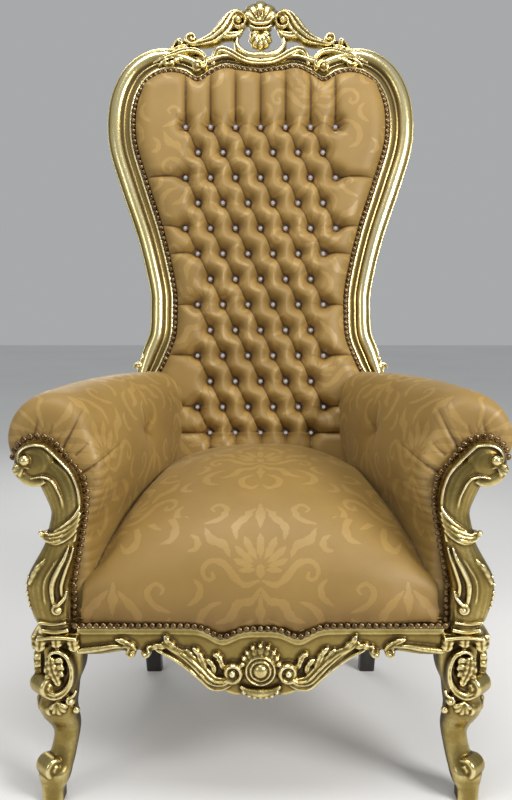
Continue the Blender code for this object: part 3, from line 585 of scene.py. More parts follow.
def crest(material):
    """Pierced cresting: palmette, scallop shell, scrolls and leaves over the top moulding."""
    bm = bmesh.new()
    for side in (1, -1):
        place = reflected(on_crest, side)
        scroll(bm, (0.06, 0.1265), 0.0215, 75, -1.2,
               [(0.0795, 0.1375), (0.09, 0.12), (0.105, 0.1005), (0.1275, 0.082), (0.146, 0.0735),
                (0.165, 0.069), (0.184, 0.065), (0.1985, 0.0735), (0.1975, 0.0885), (0.185, 0.0935),
                (0.1765, 0.085), (0.1805, 0.077)],
               (0.004, 0.0055, 0.0062, 0.0062, 0.0064, 0.008, 0.016, 0.0245, 0.024, 0.021, 0.017, 0.012,
                0.0072, 0.0062, 0.0052, 0.003), (0.02, 0.024, 0.028, 0.027, 0.024, 0.02, 0.014), place,
               flutes=3, count=96, inner=0.56)
        wrap = [(0.142, 0.074), (0.12, 0.084), (0.098, 0.089), (0.078, 0.089), (0.06, 0.095),
                (0.048, 0.106)]
        stroke(bm, wrap, 50, (0.004, 0.01, 0.0125, 0.0125, 0.01, 0.004),
               (0.012, 0.019, 0.021, 0.019, 0.012), place, flutes=2)
        dome(bm, (0.1868, 0.0795), 0.0075, 0.02, place)
        scroll(bm, (0.219, 0.069), 0.0085, 100, -0.9, [(0.229, 0.069), (0.236, 0.058), (0.246, 0.05)],
               (0.003, 0.005, 0.005, 0.003), (0.014, 0.02, 0.016), place, count=26)
        scroll(bm, (0.169, 0.002), 0.015, 190, 1.15,
               [(0.148, 0.008), (0.15, 0.028), (0.166, 0.042), (0.19, 0.0465), (0.215, 0.043),
                (0.24, 0.035), (0.265, 0.027), (0.29, 0.015)],
               (0.004, 0.006, 0.007, 0.008, 0.0085, 0.0095, 0.01, 0.009, 0.007, 0.003),
               (0.018, 0.026, 0.028, 0.028, 0.026, 0.022, 0.014), place, flutes=2, count=70, inner=0.4)
        z = RAIL_TOP + 0.366 * OPENING_HEIGHT - OPENING_TOP
        x = float(outline_side(OPENING_TOP + z)) + 0.9 * FRAME_WIDTH
        scroll(bm, (x, z), 0.0085, 100, -1.2, [(x + 0.009, z + 0.005), (x + 0.013, z - 0.005)],
               (0.003, 0.0045, 0.005, 0.003), (0.012, 0.017, 0.01), place, count=34)
        leaves(bm, place, (
            ([(0.196, 0.06), (0.208, 0.058), (0.226, 0.052), (0.246, 0.048)], 0.0085, 0.022, 3),
            ([(0.205, 0.026), (0.224, 0.022), (0.243, 0.012), (0.262, 0.012)], 0.0075, 0.024, 4),
            ([(0.23, 0.03), (0.252, 0.024), (0.276, 0.006)], 0.0065, 0.022, 3),
            ([(0.222, 0.048), (0.244, 0.047), (0.266, 0.044), (0.286, 0.034)], 0.006, 0.024, 2),
            ([(x - 0.003, z + 0.006), (x - 0.009, z + 0.02), (x - 0.013, z + 0.036)], 0.005, 0.016, 1),
        ))
    bowl = mirrored([(0.0, 0.033), (0.022, 0.0335), (0.042, 0.041), (0.0575, 0.055), (0.0645, 0.07),
                     (0.061, 0.083)])
    stroke(bm, bowl, 64,
           (0.004, 0.0085, 0.0105, 0.0125, 0.0135, 0.014, 0.0135, 0.0125, 0.0105, 0.0085, 0.004),
           (0.012, 0.02, 0.024, 0.02, 0.012), on_crest, base=-0.01)
    wave = mirrored([(0.0, 0.015), (0.026, 0.0165), (0.048, 0.024), (0.064, 0.032), (0.081, 0.0415),
                       (0.1, 0.049), (0.1165, 0.045), (0.125, 0.03), (0.129, 0.01)])
    stroke(bm, wave, 96, (0.005, 0.01, 0.013, 0.0135, 0.012, 0.0105, 0.0095, 0.0095, 0.0105, 0.012, 0.0135,
                          0.013, 0.01, 0.005),
           (0.014, 0.024, 0.026, 0.022, 0.022, 0.022, 0.026, 0.024, 0.014), on_crest, flutes=2, base=-0.01)
    fan(bm, (0.0, 0.112), (40, 65, 90, 115, 140), (0.063, 0.0665, 0.071, 0.0665, 0.063), 0.0172, 0.026,
        on_crest, blunt=0.8)
    fan(bm, (0.0, 0.118), (52, 77, 103, 128), (0.046, 0.048, 0.048, 0.046), 0.003, 0.03, on_crest)
    for lift, reach, height in ((0.0, 0.032, 0.028), (-0.0125, 0.03, 0.025)):
        lip = mirrored([(0.0, 0.115 + lift), (0.55 * reach, 0.1165 + lift), (reach, 0.124 + lift)])
        stroke(bm, lip, 30, (0.003, 0.0055, 0.0065, 0.0055, 0.003), (height,), on_crest)
    angles = np.linspace(-160, -20, 7)
    fan(bm, (0.0, 0.099), angles, (0.029, 0.038, 0.044, 0.0465, 0.044, 0.038, 0.029), 0.0092, 0.02, on_crest,
        blunt=0.85)
    carving = piece_from(bm, "gilt_crest", material, "gilt_wood")
    mesh = melt(carving, CREST_VOXEL)
    # Painted highlight: the whole crest is coloured paler than the rest of the gilding.
    store(mesh, "tone_shift", np.full(len(mesh.vertices), CREST_PAINTED_LIGHT))
    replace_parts(carving, "back_frame")


# Gilt front rail and its apron


def board_bottom(x):
    """Lower edge of the board, which the carving hides where it hangs below it."""
    rise = 0.017 * smooth_step(np.abs(x), 0.045, 0.1) * (1 - 0.55 * smooth_step(np.abs(x), 0.25, 0.33))
    return apron_bottom(x) + rise


def front_rail(material):
    """Shaped rail with a carved apron: central boss and shell between volutes, fluted stems and leaves."""
    bm = bmesh.new()
    end = LEG_X - 0.5 * LEG_WIDTH + 0.002
    x = np.linspace(-end, end, 160)
    low, high = board_bottom(x), apron_top(x)
    bevel = 0.004
    section = ((RAIL_THICKNESS, low), (bevel, low), (0.0, low + bevel), (0.0, 0.5 * (low + high)),
               (0.0, high - 0.0175), (-0.0018, high - 0.016), (-0.0018, high - bevel), (bevel, high),
               (RAIL_THICKNESS, high))
    skin(bm, np.stack([np.stack([x, 0 * x + depth, z], axis=1) for depth, z in section], axis=1))
    centre_z = 0.284
    for side in (1, -1):
        place = reflected(on_front, side)
        scroll(bm, (0.0554, 0.28), 0.0185, -60, 1.2,
               [(0.076, 0.259), (0.096, 0.262), (0.115, 0.28), (0.134, 0.299), (0.156, 0.317),
                (0.178, 0.329), (0.193, 0.343)],
               (0.004, 0.0062, 0.0066, 0.0066, 0.0085, 0.0125, 0.0165, 0.0165, 0.015, 0.0125, 0.008, 0.002),
               (0.016, 0.02, 0.021, 0.019, 0.016, 0.013, 0.01), place, flutes=4, count=84, inner=0.56)
        stroke(bm, [(0.056, 0.254), (0.076, 0.245), (0.098, 0.248), (0.12, 0.268), (0.148, 0.291),
                    (0.178, 0.311), (0.205, 0.325)], 40,
               (0.003, 0.0055, 0.006, 0.0055, 0.005, 0.005, 0.003), (0.01, 0.015, 0.015, 0.011, 0.01), place)
        leaves(bm, place, (
            ([(0.074, 0.286), (0.078, 0.302), (0.085, 0.314), (0.095, 0.315)], 0.008, 0.014, 3),
            ([(0.089, 0.278), (0.095, 0.295), (0.106, 0.306)], 0.0075, 0.013, 2),
            ([(0.108, 0.285), (0.115, 0.304), (0.123, 0.32), (0.134, 0.33)], 0.0085, 0.015, 3),
            ([(0.123, 0.296), (0.134, 0.312), (0.147, 0.327)], 0.0075, 0.013, 2),
            ([(0.166, 0.33), (0.18, 0.341), (0.189, 0.356)], 0.0085, 0.014, 2),
            ([(0.186, 0.331), (0.202, 0.334), (0.215, 0.328)], 0.0085, 0.014, 2),
            ([(0.244, 0.324), (0.256, 0.335), (0.27, 0.343), (0.286, 0.347)], 0.0085, 0.013, 2),
        ))
        eye_z = 0.32
        for eye_x, way, leave_deg in ((0.227, 1, 150), (0.253, -1, 30)):
            scroll(bm, (eye_x, eye_z), 0.0085, leave_deg, -0.9 * way,
                   [(eye_x - 0.006 * way, eye_z + 0.012), (eye_x - 0.016 * way, eye_z + 0.013)],
                   (0.003, 0.005, 0.003), (0.012, 0.018, 0.01), place, count=24)
        stroke(bm, [(0.264, 0.33), (0.286, 0.332), (0.315, 0.328), (end - 0.001, 0.322)], 24,
               (0.003, 0.0065, 0.0075, 0.0075), (0.008, 0.012, 0.012), place)
    turn = np.radians(np.linspace(18, 162, 9))
    reach = 0.0525 / np.sqrt((np.cos(turn) / 0.74) ** 2 + np.sin(turn) ** 2)
    fan(bm, (0.0, centre_z), np.degrees(turn), reach, 0.008, 0.013, on_front, blunt=0.8)
    for u, v in zip(0.96 * reach * np.cos(turn), centre_z + 0.96 * reach * np.sin(turn)):
        dome(bm, (u, v), 0.0064, 0.014, on_front)
    lip = mirrored([(0.0, 0.236), (0.014, 0.2365), (0.028, 0.241), (0.04, 0.25)])
    stroke(bm, lip, 40, (0.004, 0.008, 0.0105, 0.0115, 0.0105, 0.008, 0.004), (0.01, 0.017, 0.01), on_front)
    for x_dome, z_dome in ((0.0, 0.229), (0.0115, 0.2295), (0.0225, 0.2325), (0.0325, 0.2385)):
        for side in (1, -1):
            dome(bm, (side * x_dome, z_dome), 0.0066, 0.015, on_front)
    boss(bm, (0.0, centre_z), 0.0315,
         ((1.0, -0.004), (1.0, 0.55), (0.95, 0.8), (0.87, 0.84), (0.8, 0.58), (0.73, 0.56), (0.67, 0.8),
          (0.59, 0.84), (0.53, 0.62), (0.48, 0.62), (0.42, 0.88), (0.28, 1.08), (0.1, 1.16)), 0.019, on_front,
         36)
    carving = piece_from(bm, "gilt_front_rail", material, "gilt_wood")
    melt(carving)
    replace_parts(carving, "seat_rail_front")


def side_rail(material):
    """Right side rail, scalloped along its lower edge, with a bead under the fabric."""
    bm = bmesh.new()
    front, back = (float(corner[1]) - SHIFT_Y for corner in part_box("seat_rail_right"))
    share = np.linspace(0, 1, 60)
    y = front + share * (back - front)
    start_x = LEG_X - 0.1 * LEG_WIDTH
    x = start_x + share * (float(OUTLINE[0, 0] + OUTLINE[0, 2] / 2) - start_x)
    low = RAIL_TOP - RAIL_HEIGHT - SCALLOP_DROP * np.sin(math.pi * share) ** 2
    half = RAIL_THICKNESS / 2
    section = []
    for out, rise in ((-half, 0.0), (half - 0.004, 0.0), (half, 0.003), (half, 0.008), (half - 0.003, 0.011),
                      (half - 0.003, 0.3), (half - 0.002, 0.6)):
        z = low + rise if rise < 0.1 else low + rise * (RAIL_TOP - low)
        section.append(np.stack([x + out, y, z], axis=1))
    for out, drop in ((half - 0.002, 0.014), (half + 0.001, 0.011), (half + 0.001, 0.005),
                      (half - 0.002, 0.002), (half - 0.004, 0.0), (-half, 0.0)):
        section.append(np.stack([x + out, y, 0 * x + RAIL_TOP - drop], axis=1))
    skin(bm, np.stack(section, axis=1))
    rail = piece_from(bm, "gilt_side_rail_right", material, "gilt_wood")
    mark_relief_shade(rail.data, rounds=3)
    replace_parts(rail, "seat_rail_right")
    return rail


# Front legs


LEG_STATIONS = (
    (0.0, 0.2, 0.25), (0.075, 0.2, 0.26), (0.12, 0.17, 0.33), (0.175, 0.16, 0.38), (0.225, 0.06, 0.33),
    (0.29, -0.02, 0.3), (0.37, -0.08, 0.3), (0.43, -0.06, 0.34), (0.49, 0.02, 0.4), (0.555, 0.07, 0.44),
    (0.615, 0.03, 0.43), (0.69, 0.02, 0.46), (0.76, -0.08, 0.47), (0.85, -0.11, 0.465), (0.925, -0.09, 0.47),
    (0.952, -0.05, 0.51), (0.97, -0.02, 0.54), (1.0, -0.06, 0.5),
)


def corner_roll(bm, x, z, radius, length):
    """Scroll that rolls outwards over the leg's corner, with a spiral eye at each end."""
    along = np.array([math.sqrt(0.5), math.sqrt(0.5), 0])
    outwards = np.array([math.sqrt(0.5), -math.sqrt(0.5), 0])
    centre = np.array([x, LEG_Y - (x - LEG_X), z])
    angle = np.linspace(0, 2 * math.pi, 28, endpoint=False)
    rows = []
    for share, size in ((-1.16, 0.14), (-1.18, 0.3), (-1.06, 0.42), (-1.0, 0.52), (-1.04, 0.66),
                        (-1.05, 0.84), (-0.9, 0.97), (-0.5, 1.02), (0.0, 1.04), (0.5, 1.02), (0.9, 0.97),
                        (1.05, 0.84), (1.04, 0.66), (1.0, 0.52), (1.06, 0.42), (1.18, 0.3), (1.16, 0.14)):
        spin = np.cos(angle)[:, None] * outwards + np.sin(angle)[:, None] * [0, 0, 1]
        rows.append(centre + along * share * length / 2 + radius * size * spin)
    skin(bm, rows)


def front_leg(material):
    """Right cabriole leg: capital, C-shaped cartouche with the knee's roll, plain shaft and scroll foot."""
    bm = bmesh.new()
    stations = smooth_curve([(h * LEG_HEIGHT, s * LEG_WIDTH, w * LEG_WIDTH) for h, s, w in LEG_STATIONS], 70,
                            axes=1)
    angle = np.linspace(0, 2 * math.pi, 40, endpoint=False)
    cosine, sine = np.cos(angle), np.sin(angle)
    rows = []
    for height, shift, half in stations:
        squareness = 2.5 + 2.6 * float(smooth_step(abs(height / LEG_HEIGHT - 0.45), 0.25, 0.42))
        reach = half * np.stack([np.sign(cosine) * np.abs(cosine) ** (2 / squareness),
                                 np.sign(sine) * np.abs(sine) ** (2 / squareness), 0 * sine], axis=1)
        rows.append(reach + [LEG_X + shift, LEG_Y - shift, height])
    rows[0][:, 2] = 0
    skin(bm, rows)
    corner_roll(bm, LEG_X + 0.265 * LEG_WIDTH, 0.073, 0.0225, 0.044)
    corner_roll(bm, LEG_X + 0.33 * LEG_WIDTH, 0.25, 0.0205, 0.046)
    corner_roll(bm, LEG_X + 0.285 * LEG_WIDTH, 0.2, 0.0125, 0.042)
    for place in (on_knee, on_knee_side):
        cartouche = [(LEG_X + x, z) for x, z in (
            (0.014, 0.312), (0.006, 0.322), (-0.008, 0.324), (-0.024, 0.313), (-0.032, 0.288),
            (-0.029, 0.261), (-0.015, 0.241), (0.004, 0.233), (0.024, 0.24))]
        stroke(bm, cartouche, 60, (0.003, 0.0045, 0.005, 0.0055, 0.006, 0.007, 0.009, 0.0105, 0.01),
               (0.007, 0.012, 0.013, 0.013, 0.014, 0.014, 0.013), place, flutes=2, base=-0.014)
        leaf(bm, [(LEG_X + 0.008, 0.313), (LEG_X + 0.006, 0.29), (LEG_X - 0.002, 0.268),
                  (LEG_X - 0.006, 0.254)],
             0.0135, 0.014, place, 5, count=34)
        for z, reach in ((0.304, 0.015), (0.29, 0.017), (0.276, 0.016)):
            leaves(bm, place, (
                ([(LEG_X + 0.002, z), (LEG_X - 0.6 * reach, z + 0.004), (LEG_X - reach, z - 0.003)], 0.0072,
                 0.012, 1),
                ([(LEG_X + 0.006, z - 0.004), (LEG_X + 0.8 * reach, z), (LEG_X + 1.3 * reach, z - 0.008)],
                 0.0074, 0.011, 1),
            ))
        z = 0.352
        for x, drop in ((-0.033, 0.028), (-0.003, 0.02), (0.027, 0.028)):
            leaf(bm, [(LEG_X + x, z), (LEG_X + 1.08 * x, z - 0.55 * drop), (LEG_X + 1.15 * x, z - drop)],
                 0.014, 0.01, place, 2)
        brim = [(LEG_X - 0.044, 0.35), (LEG_X - 0.004, 0.3535), (LEG_X + 0.036, 0.35)]
        stroke(bm, brim, 30, (0.0045,), (0.01,), place)
        fan(bm, (LEG_X, 0.22), (-150, -125, -100, -75, -50), (0.024, 0.028, 0.03, 0.028, 0.022), 0.0058, 0.01,
            place, blunt=0.6)
        scroll(bm, (LEG_X - 0.029, 0.223), 0.008, 60, 1.0, [(LEG_X - 0.033, 0.233), (LEG_X - 0.039, 0.244)],
               (0.003, 0.0045, 0.003), (0.008, 0.012, 0.007), place, count=30)
    for shift_x, shift_y in ((-0.4, -0.33), (0.33, 0.4)):
        bead = bmesh.ops.create_uvsphere(bm, u_segments=16, v_segments=10, radius=0.008)["verts"]
        bmesh.ops.translate(bm, verts=bead,
                            vec=(LEG_X + shift_x * LEG_WIDTH, LEG_Y + shift_y * LEG_WIDTH, 0.196))
    leg = piece_from(bm, "gilt_front_leg_right", material, "gilt_wood")
    mesh = melt(leg, lowest=0)
    # Darker gold on the faces that turn inwards and backwards.
    facing = normals(mesh)
    store(mesh, "tone_shift", smooth_step(0.75 * facing[:, 1] - 0.66 * facing[:, 0], 0.35, 0.75))
    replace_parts(leg, "front_leg_right")
    return leg


# Arm supports


SUPPORT_STATIONS = (
    (-0.02, 0.0, 0.38), (0.02, 0.04, 0.4), (0.11, 0.11, 0.49), (0.17, 0.215, 0.55), (0.15, 0.27, 0.545),
    (-0.065, 0.388, 0.445), (-0.18, 0.46, 0.395), (-0.265, 0.537, 0.385), (-0.345, 0.63, 0.385),
    (-0.3, 0.722, 0.46), (-0.13, 0.812, 0.47), (0.06, 0.87, 0.32),
)
SUPPORT_FOOT = LEG_HEIGHT + GAP
SUPPORT_PATH = smooth_curve([(LEG_X + x * SUPPORT_WIDTH, SUPPORT_FOOT + z * SUPPORT_HEIGHT,
                              half * SUPPORT_WIDTH)
                             for x, z, half in SUPPORT_STATIONS], 80)
HEAD = (LEG_X + 0.36 * SUPPORT_WIDTH, SUPPORT_FOOT + 0.89 * SUPPORT_HEIGHT)
HEAD_RADIUS = 0.11 * SUPPORT_HEIGHT


def along_support(share, offset):
    """Point at a share of the support's height, and at a share of its half width to its inner side."""
    rises = (SUPPORT_PATH[:, 1] - SUPPORT_FOOT) / SUPPORT_HEIGHT
    x, z, half = (np.interp(share, rises, column) for column in SUPPORT_PATH.T)
    tangents = directions(SUPPORT_PATH[:, :2])
    tx, tz = (np.interp(share, rises, column) for column in tangents.T)
    return (float(x - tz * offset * half), float(z + tx * offset * half))


def on_head(turn_deg, reach):
    """Point on the support's head, at a share of its radius."""
    turn = math.radians(turn_deg)
    return (HEAD[0] + reach * HEAD_RADIUS * math.cos(turn), HEAD[1] + reach * HEAD_RADIUS * math.sin(turn))


def arm_support(material):
    """Right arm support: a smooth domed S with a scroll head, a collar of strands and a fluted foot."""
    bm = bmesh.new()
    tangents = directions(SUPPORT_PATH[:, :2])
    tangents[0] = (0, 1)
    across = np.array([0.0, 0.33, 0.6, 0.8, 0.93, 0.985, 1.0, 1.0])
    depth = np.array([0.0, 0.02, 0.09, 0.2, 0.34, 0.48, 0.62, 1.0])
    across = np.concatenate([-across[:0:-1], across, [0.0]])
    depth = np.concatenate([depth[:0:-1], depth, [1.0]])
    x = SUPPORT_PATH[:, :1] + tangents[:, 1:] * across * SUPPORT_PATH[:, 2:]
    z = SUPPORT_PATH[:, 1:2] - tangents[:, :1] * across * SUPPORT_PATH[:, 2:]
    y = np.broadcast_to(SUPPORT_FRONT_Y + depth * SUPPORT_DEPTH, x.shape)
    rows = np.stack([x, y, z], axis=-1)
    rows[0, :, 2] = SUPPORT_FOOT
    skin(bm, rows)
    boss(bm, HEAD, HEAD_RADIUS, ((0.97, 0.002 - SUPPORT_DEPTH), (1.0, -0.022), (0.985, -0.016), (0.94, -0.01),
                                 (0.86, -0.005), (0.7, -0.001), (0.5, 0.6), (0.25, 1.0), (0.06, 1.05)), 0.003,
         on_support, 40)

    def sunk(u, v, d):
        return on_support(u, v, np.asarray(d) - 0.006)

    def far_down(u, v, d):
        return on_support(u, v, np.asarray(d) - 0.012)

    edge = [along_support(share, 0.87) for share in (0.5, 0.57, 0.64, 0.7, 0.76, 0.82)]
    edge += [on_head(turn, reach) for turn,
             reach in ((134, 0.94), (108, 0.88), (82, 0.84), (56, 0.82), (32, 0.78),
                                                      (8, 0.66), (-14, 0.5), (-40, 0.3))]
    stroke(bm, edge, 110, (0.0018, 0.0026, 0.0028, 0.0028, 0.0032, 0.0036, 0.0036, 0.002),
           (0.0, 0.002, 0.003, 0.006, 0.01, 0.012, 0.013, 0.012), sunk, base=-0.016)
    dome(bm, on_head(24, 0.4), 0.012, 0.015, on_support)
    fan(bm, on_head(-20, 0.46), (-62, -38, -14, 10), (0.021, 0.023, 0.023, 0.02), 0.0046, 0.01, on_support,
        blunt=0.7)
    hook = [on_head(turn, reach) for turn,
            reach in ((-18, 0.78), (-48, 0.78), (-78, 0.82), (-104, 0.9), (-120, 0.9))]
    stroke(bm, hook, 40, (0.006, 0.01, 0.0105, 0.0085, 0.005), (0.003, 0.006, 0.006, 0.004, 0.001),
           on_support, base=-0.022)
    lip = [along_support(0.66, -0.05), along_support(0.73, -0.05)]
    lip += [on_head(turn, reach) for turn, reach in ((-137, 1.14), (-127, 0.74), (-103, 0.62), (-78, 0.68))]
    stroke(bm, lip, 50, (0.0012, 0.0024, 0.003, 0.003, 0.0028, 0.0012),
           (0.0, 0.004, 0.008, 0.01, 0.01, 0.006), on_support)
    strands = (
        ((-0.057, 0.256), (-0.046, 0.238), (-0.025, 0.22), (-0.006, 0.208)),
        ((-0.058, 0.245), (-0.045, 0.226), (-0.022, 0.209), (0.002, 0.202), (0.011, 0.206)),
        ((-0.0565, 0.234), (-0.041, 0.214), (-0.017, 0.199), (0.007, 0.196), (0.016, 0.206)),
        ((-0.054, 0.223), (-0.037, 0.204), (-0.013, 0.191), (0.009, 0.191), (0.019, 0.204)),
        ((-0.05, 0.211), (-0.033, 0.196), (-0.012, 0.185), (0.006, 0.186)),
    )
    for number, strand in enumerate(strands):
        stroke(bm, [(LEG_X + x, SUPPORT_FOOT + z) for x, z in strand], 40,
               (0.002, 0.0034, 0.0036, 0.0034, 0.002), (0.0, 0.004, 0.007 + 0.001 * number, 0.006, 0.002),
               on_support, base=-0.024)
    dome(bm, (LEG_X + 0.0185, SUPPORT_FOOT + 0.205), 0.006, 0.008, on_support)
    flutes = (
        (((0.475, 0.88), (0.42, 0.8), (0.36, 0.7), (0.28, 0.66), (0.19, 0.7), (0.12, 0.66)), 0.0046, 0.007,
         sunk),
        (((0.475, 0.6), (0.42, 0.5), (0.36, 0.34), (0.28, 0.26), (0.19, 0.3), (0.11, 0.36)), 0.006, 0.009,
         on_support),
        (((0.47, 0.28), (0.42, 0.16), (0.36, 0.0), (0.28, -0.12), (0.19, -0.1), (0.09, 0.0)), 0.0036, 0.008,
         sunk),
    )
    for line, half, height, place in flutes:
        stroke(bm, [along_support(share, offset) for share, offset in line], 60,
               (0.0016, 0.8 * half, half, half, 0.8 * half, 0.0014), (0.003, height, height, height, 0.002),
               place)
    scroll(bm, along_support(0.13, 0.48), 0.0105, 100, 1.2,
           [along_support(0.19, 0.84), along_support(0.24, 0.94)], (0.0025, 0.0042, 0.0045, 0.002),
           (0.005, 0.009, 0.008, 0.002), on_support, count=40)
    leaf(bm, [along_support(0.38, -0.48), along_support(0.32, -0.7), along_support(0.25, -0.8)], 0.006, 0.006,
         sunk, 4)
    for share in np.linspace(0.15, 0.27, 6):
        dome(bm, along_support(share, -0.93), 0.0034, 0.003, far_down)
    for rise, half in ((0.006, 0.0042), (0.022, 0.003)):
        x_mid, _ = along_support(rise / SUPPORT_HEIGHT, 0.0)
        band = [(x_mid - 0.028, SUPPORT_FOOT + rise + 0.004), (x_mid, SUPPORT_FOOT + rise),
                (x_mid + 0.028, SUPPORT_FOOT + rise + 0.004)]
        stroke(bm, band, 24, (half,), (0.004,), on_support, base=-0.024)
    support = piece_from(bm, "gilt_arm_support_right", material, "gilt_wood")
    melt(support, lowest=SUPPORT_FOOT)
    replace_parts(support, "arm_support_right")
    return support


# Damask pattern, drawn on flat cloth in metres


DAMASK_WIDTH = 0.29
DAMASK_HEIGHT = 0.37
STROKE_MARGIN = 0.015


def damask_strokes():
    """Half of one damask motif, right of its axis: petals, leaves and scrolls as tapering lines."""
    strokes = []
    for lean_deg, reach, width in ((0, 0.078, 0.0085), (24, 0.076, 0.008), (47, 0.068, 0.0075),
                                   (70, 0.056, 0.0065), (94, 0.042, 0.0055)):
        lean = math.radians(lean_deg)
        tip = (math.sin(lean) * reach, math.cos(lean) * reach + 0.01)
        root = (0.3 * tip[0], 0.3 * (tip[1] - 0.01) + 0.01)
        bow = (0.7 * tip[0] + 0.004 * math.sin(lean), 0.7 * (tip[1] - 0.01) + 0.01)
        strokes.append(([root, bow, tip], (0.002, width, width, 0.002), 2.0))
    strokes += [
        ([(0.0, -0.004), (0.0, 0.006), (0.0, 0.014)], (0.004, 0.009, 0.006), 0),
        ([(0.004, -0.012), (0.03, -0.02), (0.052, -0.004), (0.072, 0.02), (0.098, 0.026), (0.114, 0.008),
          (0.106, -0.01), (0.092, -0.008), (0.094, 0.003)],
         (0.003, 0.006, 0.008, 0.008, 0.006, 0.005, 0.004, 0.004), 5.0),
        ([(0.06, 0.034), (0.074, 0.06), (0.098, 0.072), (0.112, 0.1)], (0.002, 0.01, 0.011, 0.002), 4.0),
        ([(0.048, 0.072), (0.05, 0.104), (0.032, 0.128), (0.01, 0.15)], (0.002, 0.009, 0.009, 0.002), 4.0),
        ([(0.0, 0.104), (0.0, 0.13), (0.0, 0.166)], (0.002, 0.011, 0.002), 3.0),
        ([(0.112, 0.112), (0.084, 0.124), (0.068, 0.148), (0.084, 0.166), (0.1, 0.156), (0.094, 0.146)],
         (0.003, 0.006, 0.007, 0.006, 0.004, 0.003), 3.0),
        ([(0.0, -0.026), (0.018, -0.05), (0.044, -0.056), (0.06, -0.084), (0.088, -0.096)],
         (0.003, 0.008, 0.01, 0.01, 0.002), 5.0),
        ([(0.0, -0.04), (0.0, -0.07), (0.0, -0.105)], (0.002, 0.01, 0.002), 3.0),
        ([(0.014, -0.088), (0.036, -0.104), (0.04, -0.132), (0.02, -0.15), (0.006, -0.138)],
         (0.002, 0.007, 0.008, 0.007, 0.002), 4.0),
        ([(0.142, -0.06), (0.122, -0.044), (0.118, -0.024), (0.13, -0.01)], (0.002, 0.007, 0.007, 0.002),
         3.0),
        ([(0.145, 0.044), (0.128, 0.05), (0.126, 0.07), (0.14, 0.082)], (0.002, 0.007, 0.007, 0.002), 3.0),
        ([(0.076, -0.052), (0.1, -0.062), (0.118, -0.086), (0.112, -0.116), (0.09, -0.128)],
         (0.002, 0.007, 0.009, 0.008, 0.002), 4.0),
    ]
    return strokes


def damask(u, v):
    """How much of the satin motif shows at each point of the cloth, from 0 to 1, in a half-drop repeat."""
    column = np.floor(u / DAMASK_WIDTH + 0.5)
    across = np.abs(u - column * DAMASK_WIDTH)
    rise = v + 0.5 * DAMASK_HEIGHT * (column % 2) + 0.5 * DAMASK_HEIGHT
    rise = rise % DAMASK_HEIGHT - 0.5 * DAMASK_HEIGHT
    shown = np.zeros(len(u))
    for knots, widths, lobes in damask_strokes():
        path = smooth_curve(knots, 20)
        halves = spread(widths, 20)
        if lobes:
            halves = halves * (0.7 + 0.3 * np.abs(np.sin(math.pi * lobes * np.linspace(0, 1, 20))))
        low = path.min(axis=0) - STROKE_MARGIN
        high = path.max(axis=0) + STROKE_MARGIN
        near = (across > low[0]) & (across < high[0]) & (rise > low[1]) & (rise < high[1])
        if not near.any():
            continue
        x, y = across[near], rise[near]
        closest = np.full(len(x), 1.0)
        for (ax, ay), (bx, by), ra, rb in zip(path, path[1:], halves, halves[1:]):
            dx, dy = bx - ax, by - ay
            t = np.clip(((x - ax) * dx + (y - ay) * dy) / (dx * dx + dy * dy + 1e-12), 0, 1)
            gap = np.hypot(x - ax - t * dx, y - ay - t * dy) - (ra + t * (rb - ra))
            closest = np.minimum(closest, gap)
        shade = smooth_step(-closest, -0.0009, 0.0009)
        shown[near] = np.maximum(shown[near], shade)
    return shown


# Upholstery


FOLD_SPACING = 0.06
SIDE_PLEATS = ((2, 3.0, 0.02), (4, 3.0, -0.12), (5, 2.5, 0.02), (7, 2.5, 0.04), (9, 2.5, -0.02),
               (11, 2.5, -0.08), (12, 2.0, 0.0))
CORNER_FOLDS = ((-0.6, 0.62, 0.034), (0.5, 0.55, 0.03), (-0.15, 0.95, 0.022))


def button_runs(row):
    """How far a row of buttons reaches from the middle, in columns."""
    return np.where(row % 2 == 1, 2.5, np.where(row < 6, 3.0, 2.0))


def button_wells(row, column, width):
    """1 at a button, falling away with the distance to it."""
    wells = 0
    for nearest_row in (np.floor(row), np.floor(row) + 1):
        nearest_row = np.clip(nearest_row, 0, BUTTON_ROWS - 1)
        shift = 0.5 * (nearest_row % 2)
        reach = button_runs(nearest_row)
        nearest = np.clip(np.round(column - shift) + shift, -reach, reach)
        gap = np.hypot((column - nearest) * BUTTON_PITCH, (row - nearest_row) * BUTTON_ROW)
        wells = np.maximum(wells, np.exp(-((gap / width) ** 2)))
    return wells


def button_folds(row, column, slant):
    """Distance to the nearest fold down to the right (slant 1) or left (-1), and where there is one."""
    line = column - 0.5 * slant * row
    nearest = np.round(line)
    upper = np.clip(np.floor(row), 0, BUTTON_ROWS - 2)
    held = np.abs(nearest + 0.5 * slant * upper) <= button_runs(upper) + 0.01
    held &= np.abs(nearest + 0.5 * slant * (upper + 1)) <= button_runs(upper + 1) + 0.01
    held &= (row >= 0) & (row <= BUTTON_ROWS - 1)
    return FOLD_SPACING * (line - nearest), held.astype(float)


def side_pleats(row, column):
    """Signed distance to the nearest pleat that runs from an outer button to the frame, and its strength."""
    distance = np.full(np.shape(row), 0.02)
    strength = np.zeros(np.shape(row))
    for pleat, start, slope in SIDE_PLEATS:
        out = np.abs(column) - start
        gap = (row - pleat - slope * np.clip(out, 0, None) + 0.1 * np.sin(2.6 * out) * slope) * BUTTON_ROW
        near = (np.abs(gap) < 0.02) & (out > -0.05)
        distance = np.where(near, gap, distance)
        strength = np.where(near, smooth_step(out, -0.05, 0.1) * (1 - 0.3 * smooth_step(out, 0.6, 2.6)),
                            strength)
    return distance, strength


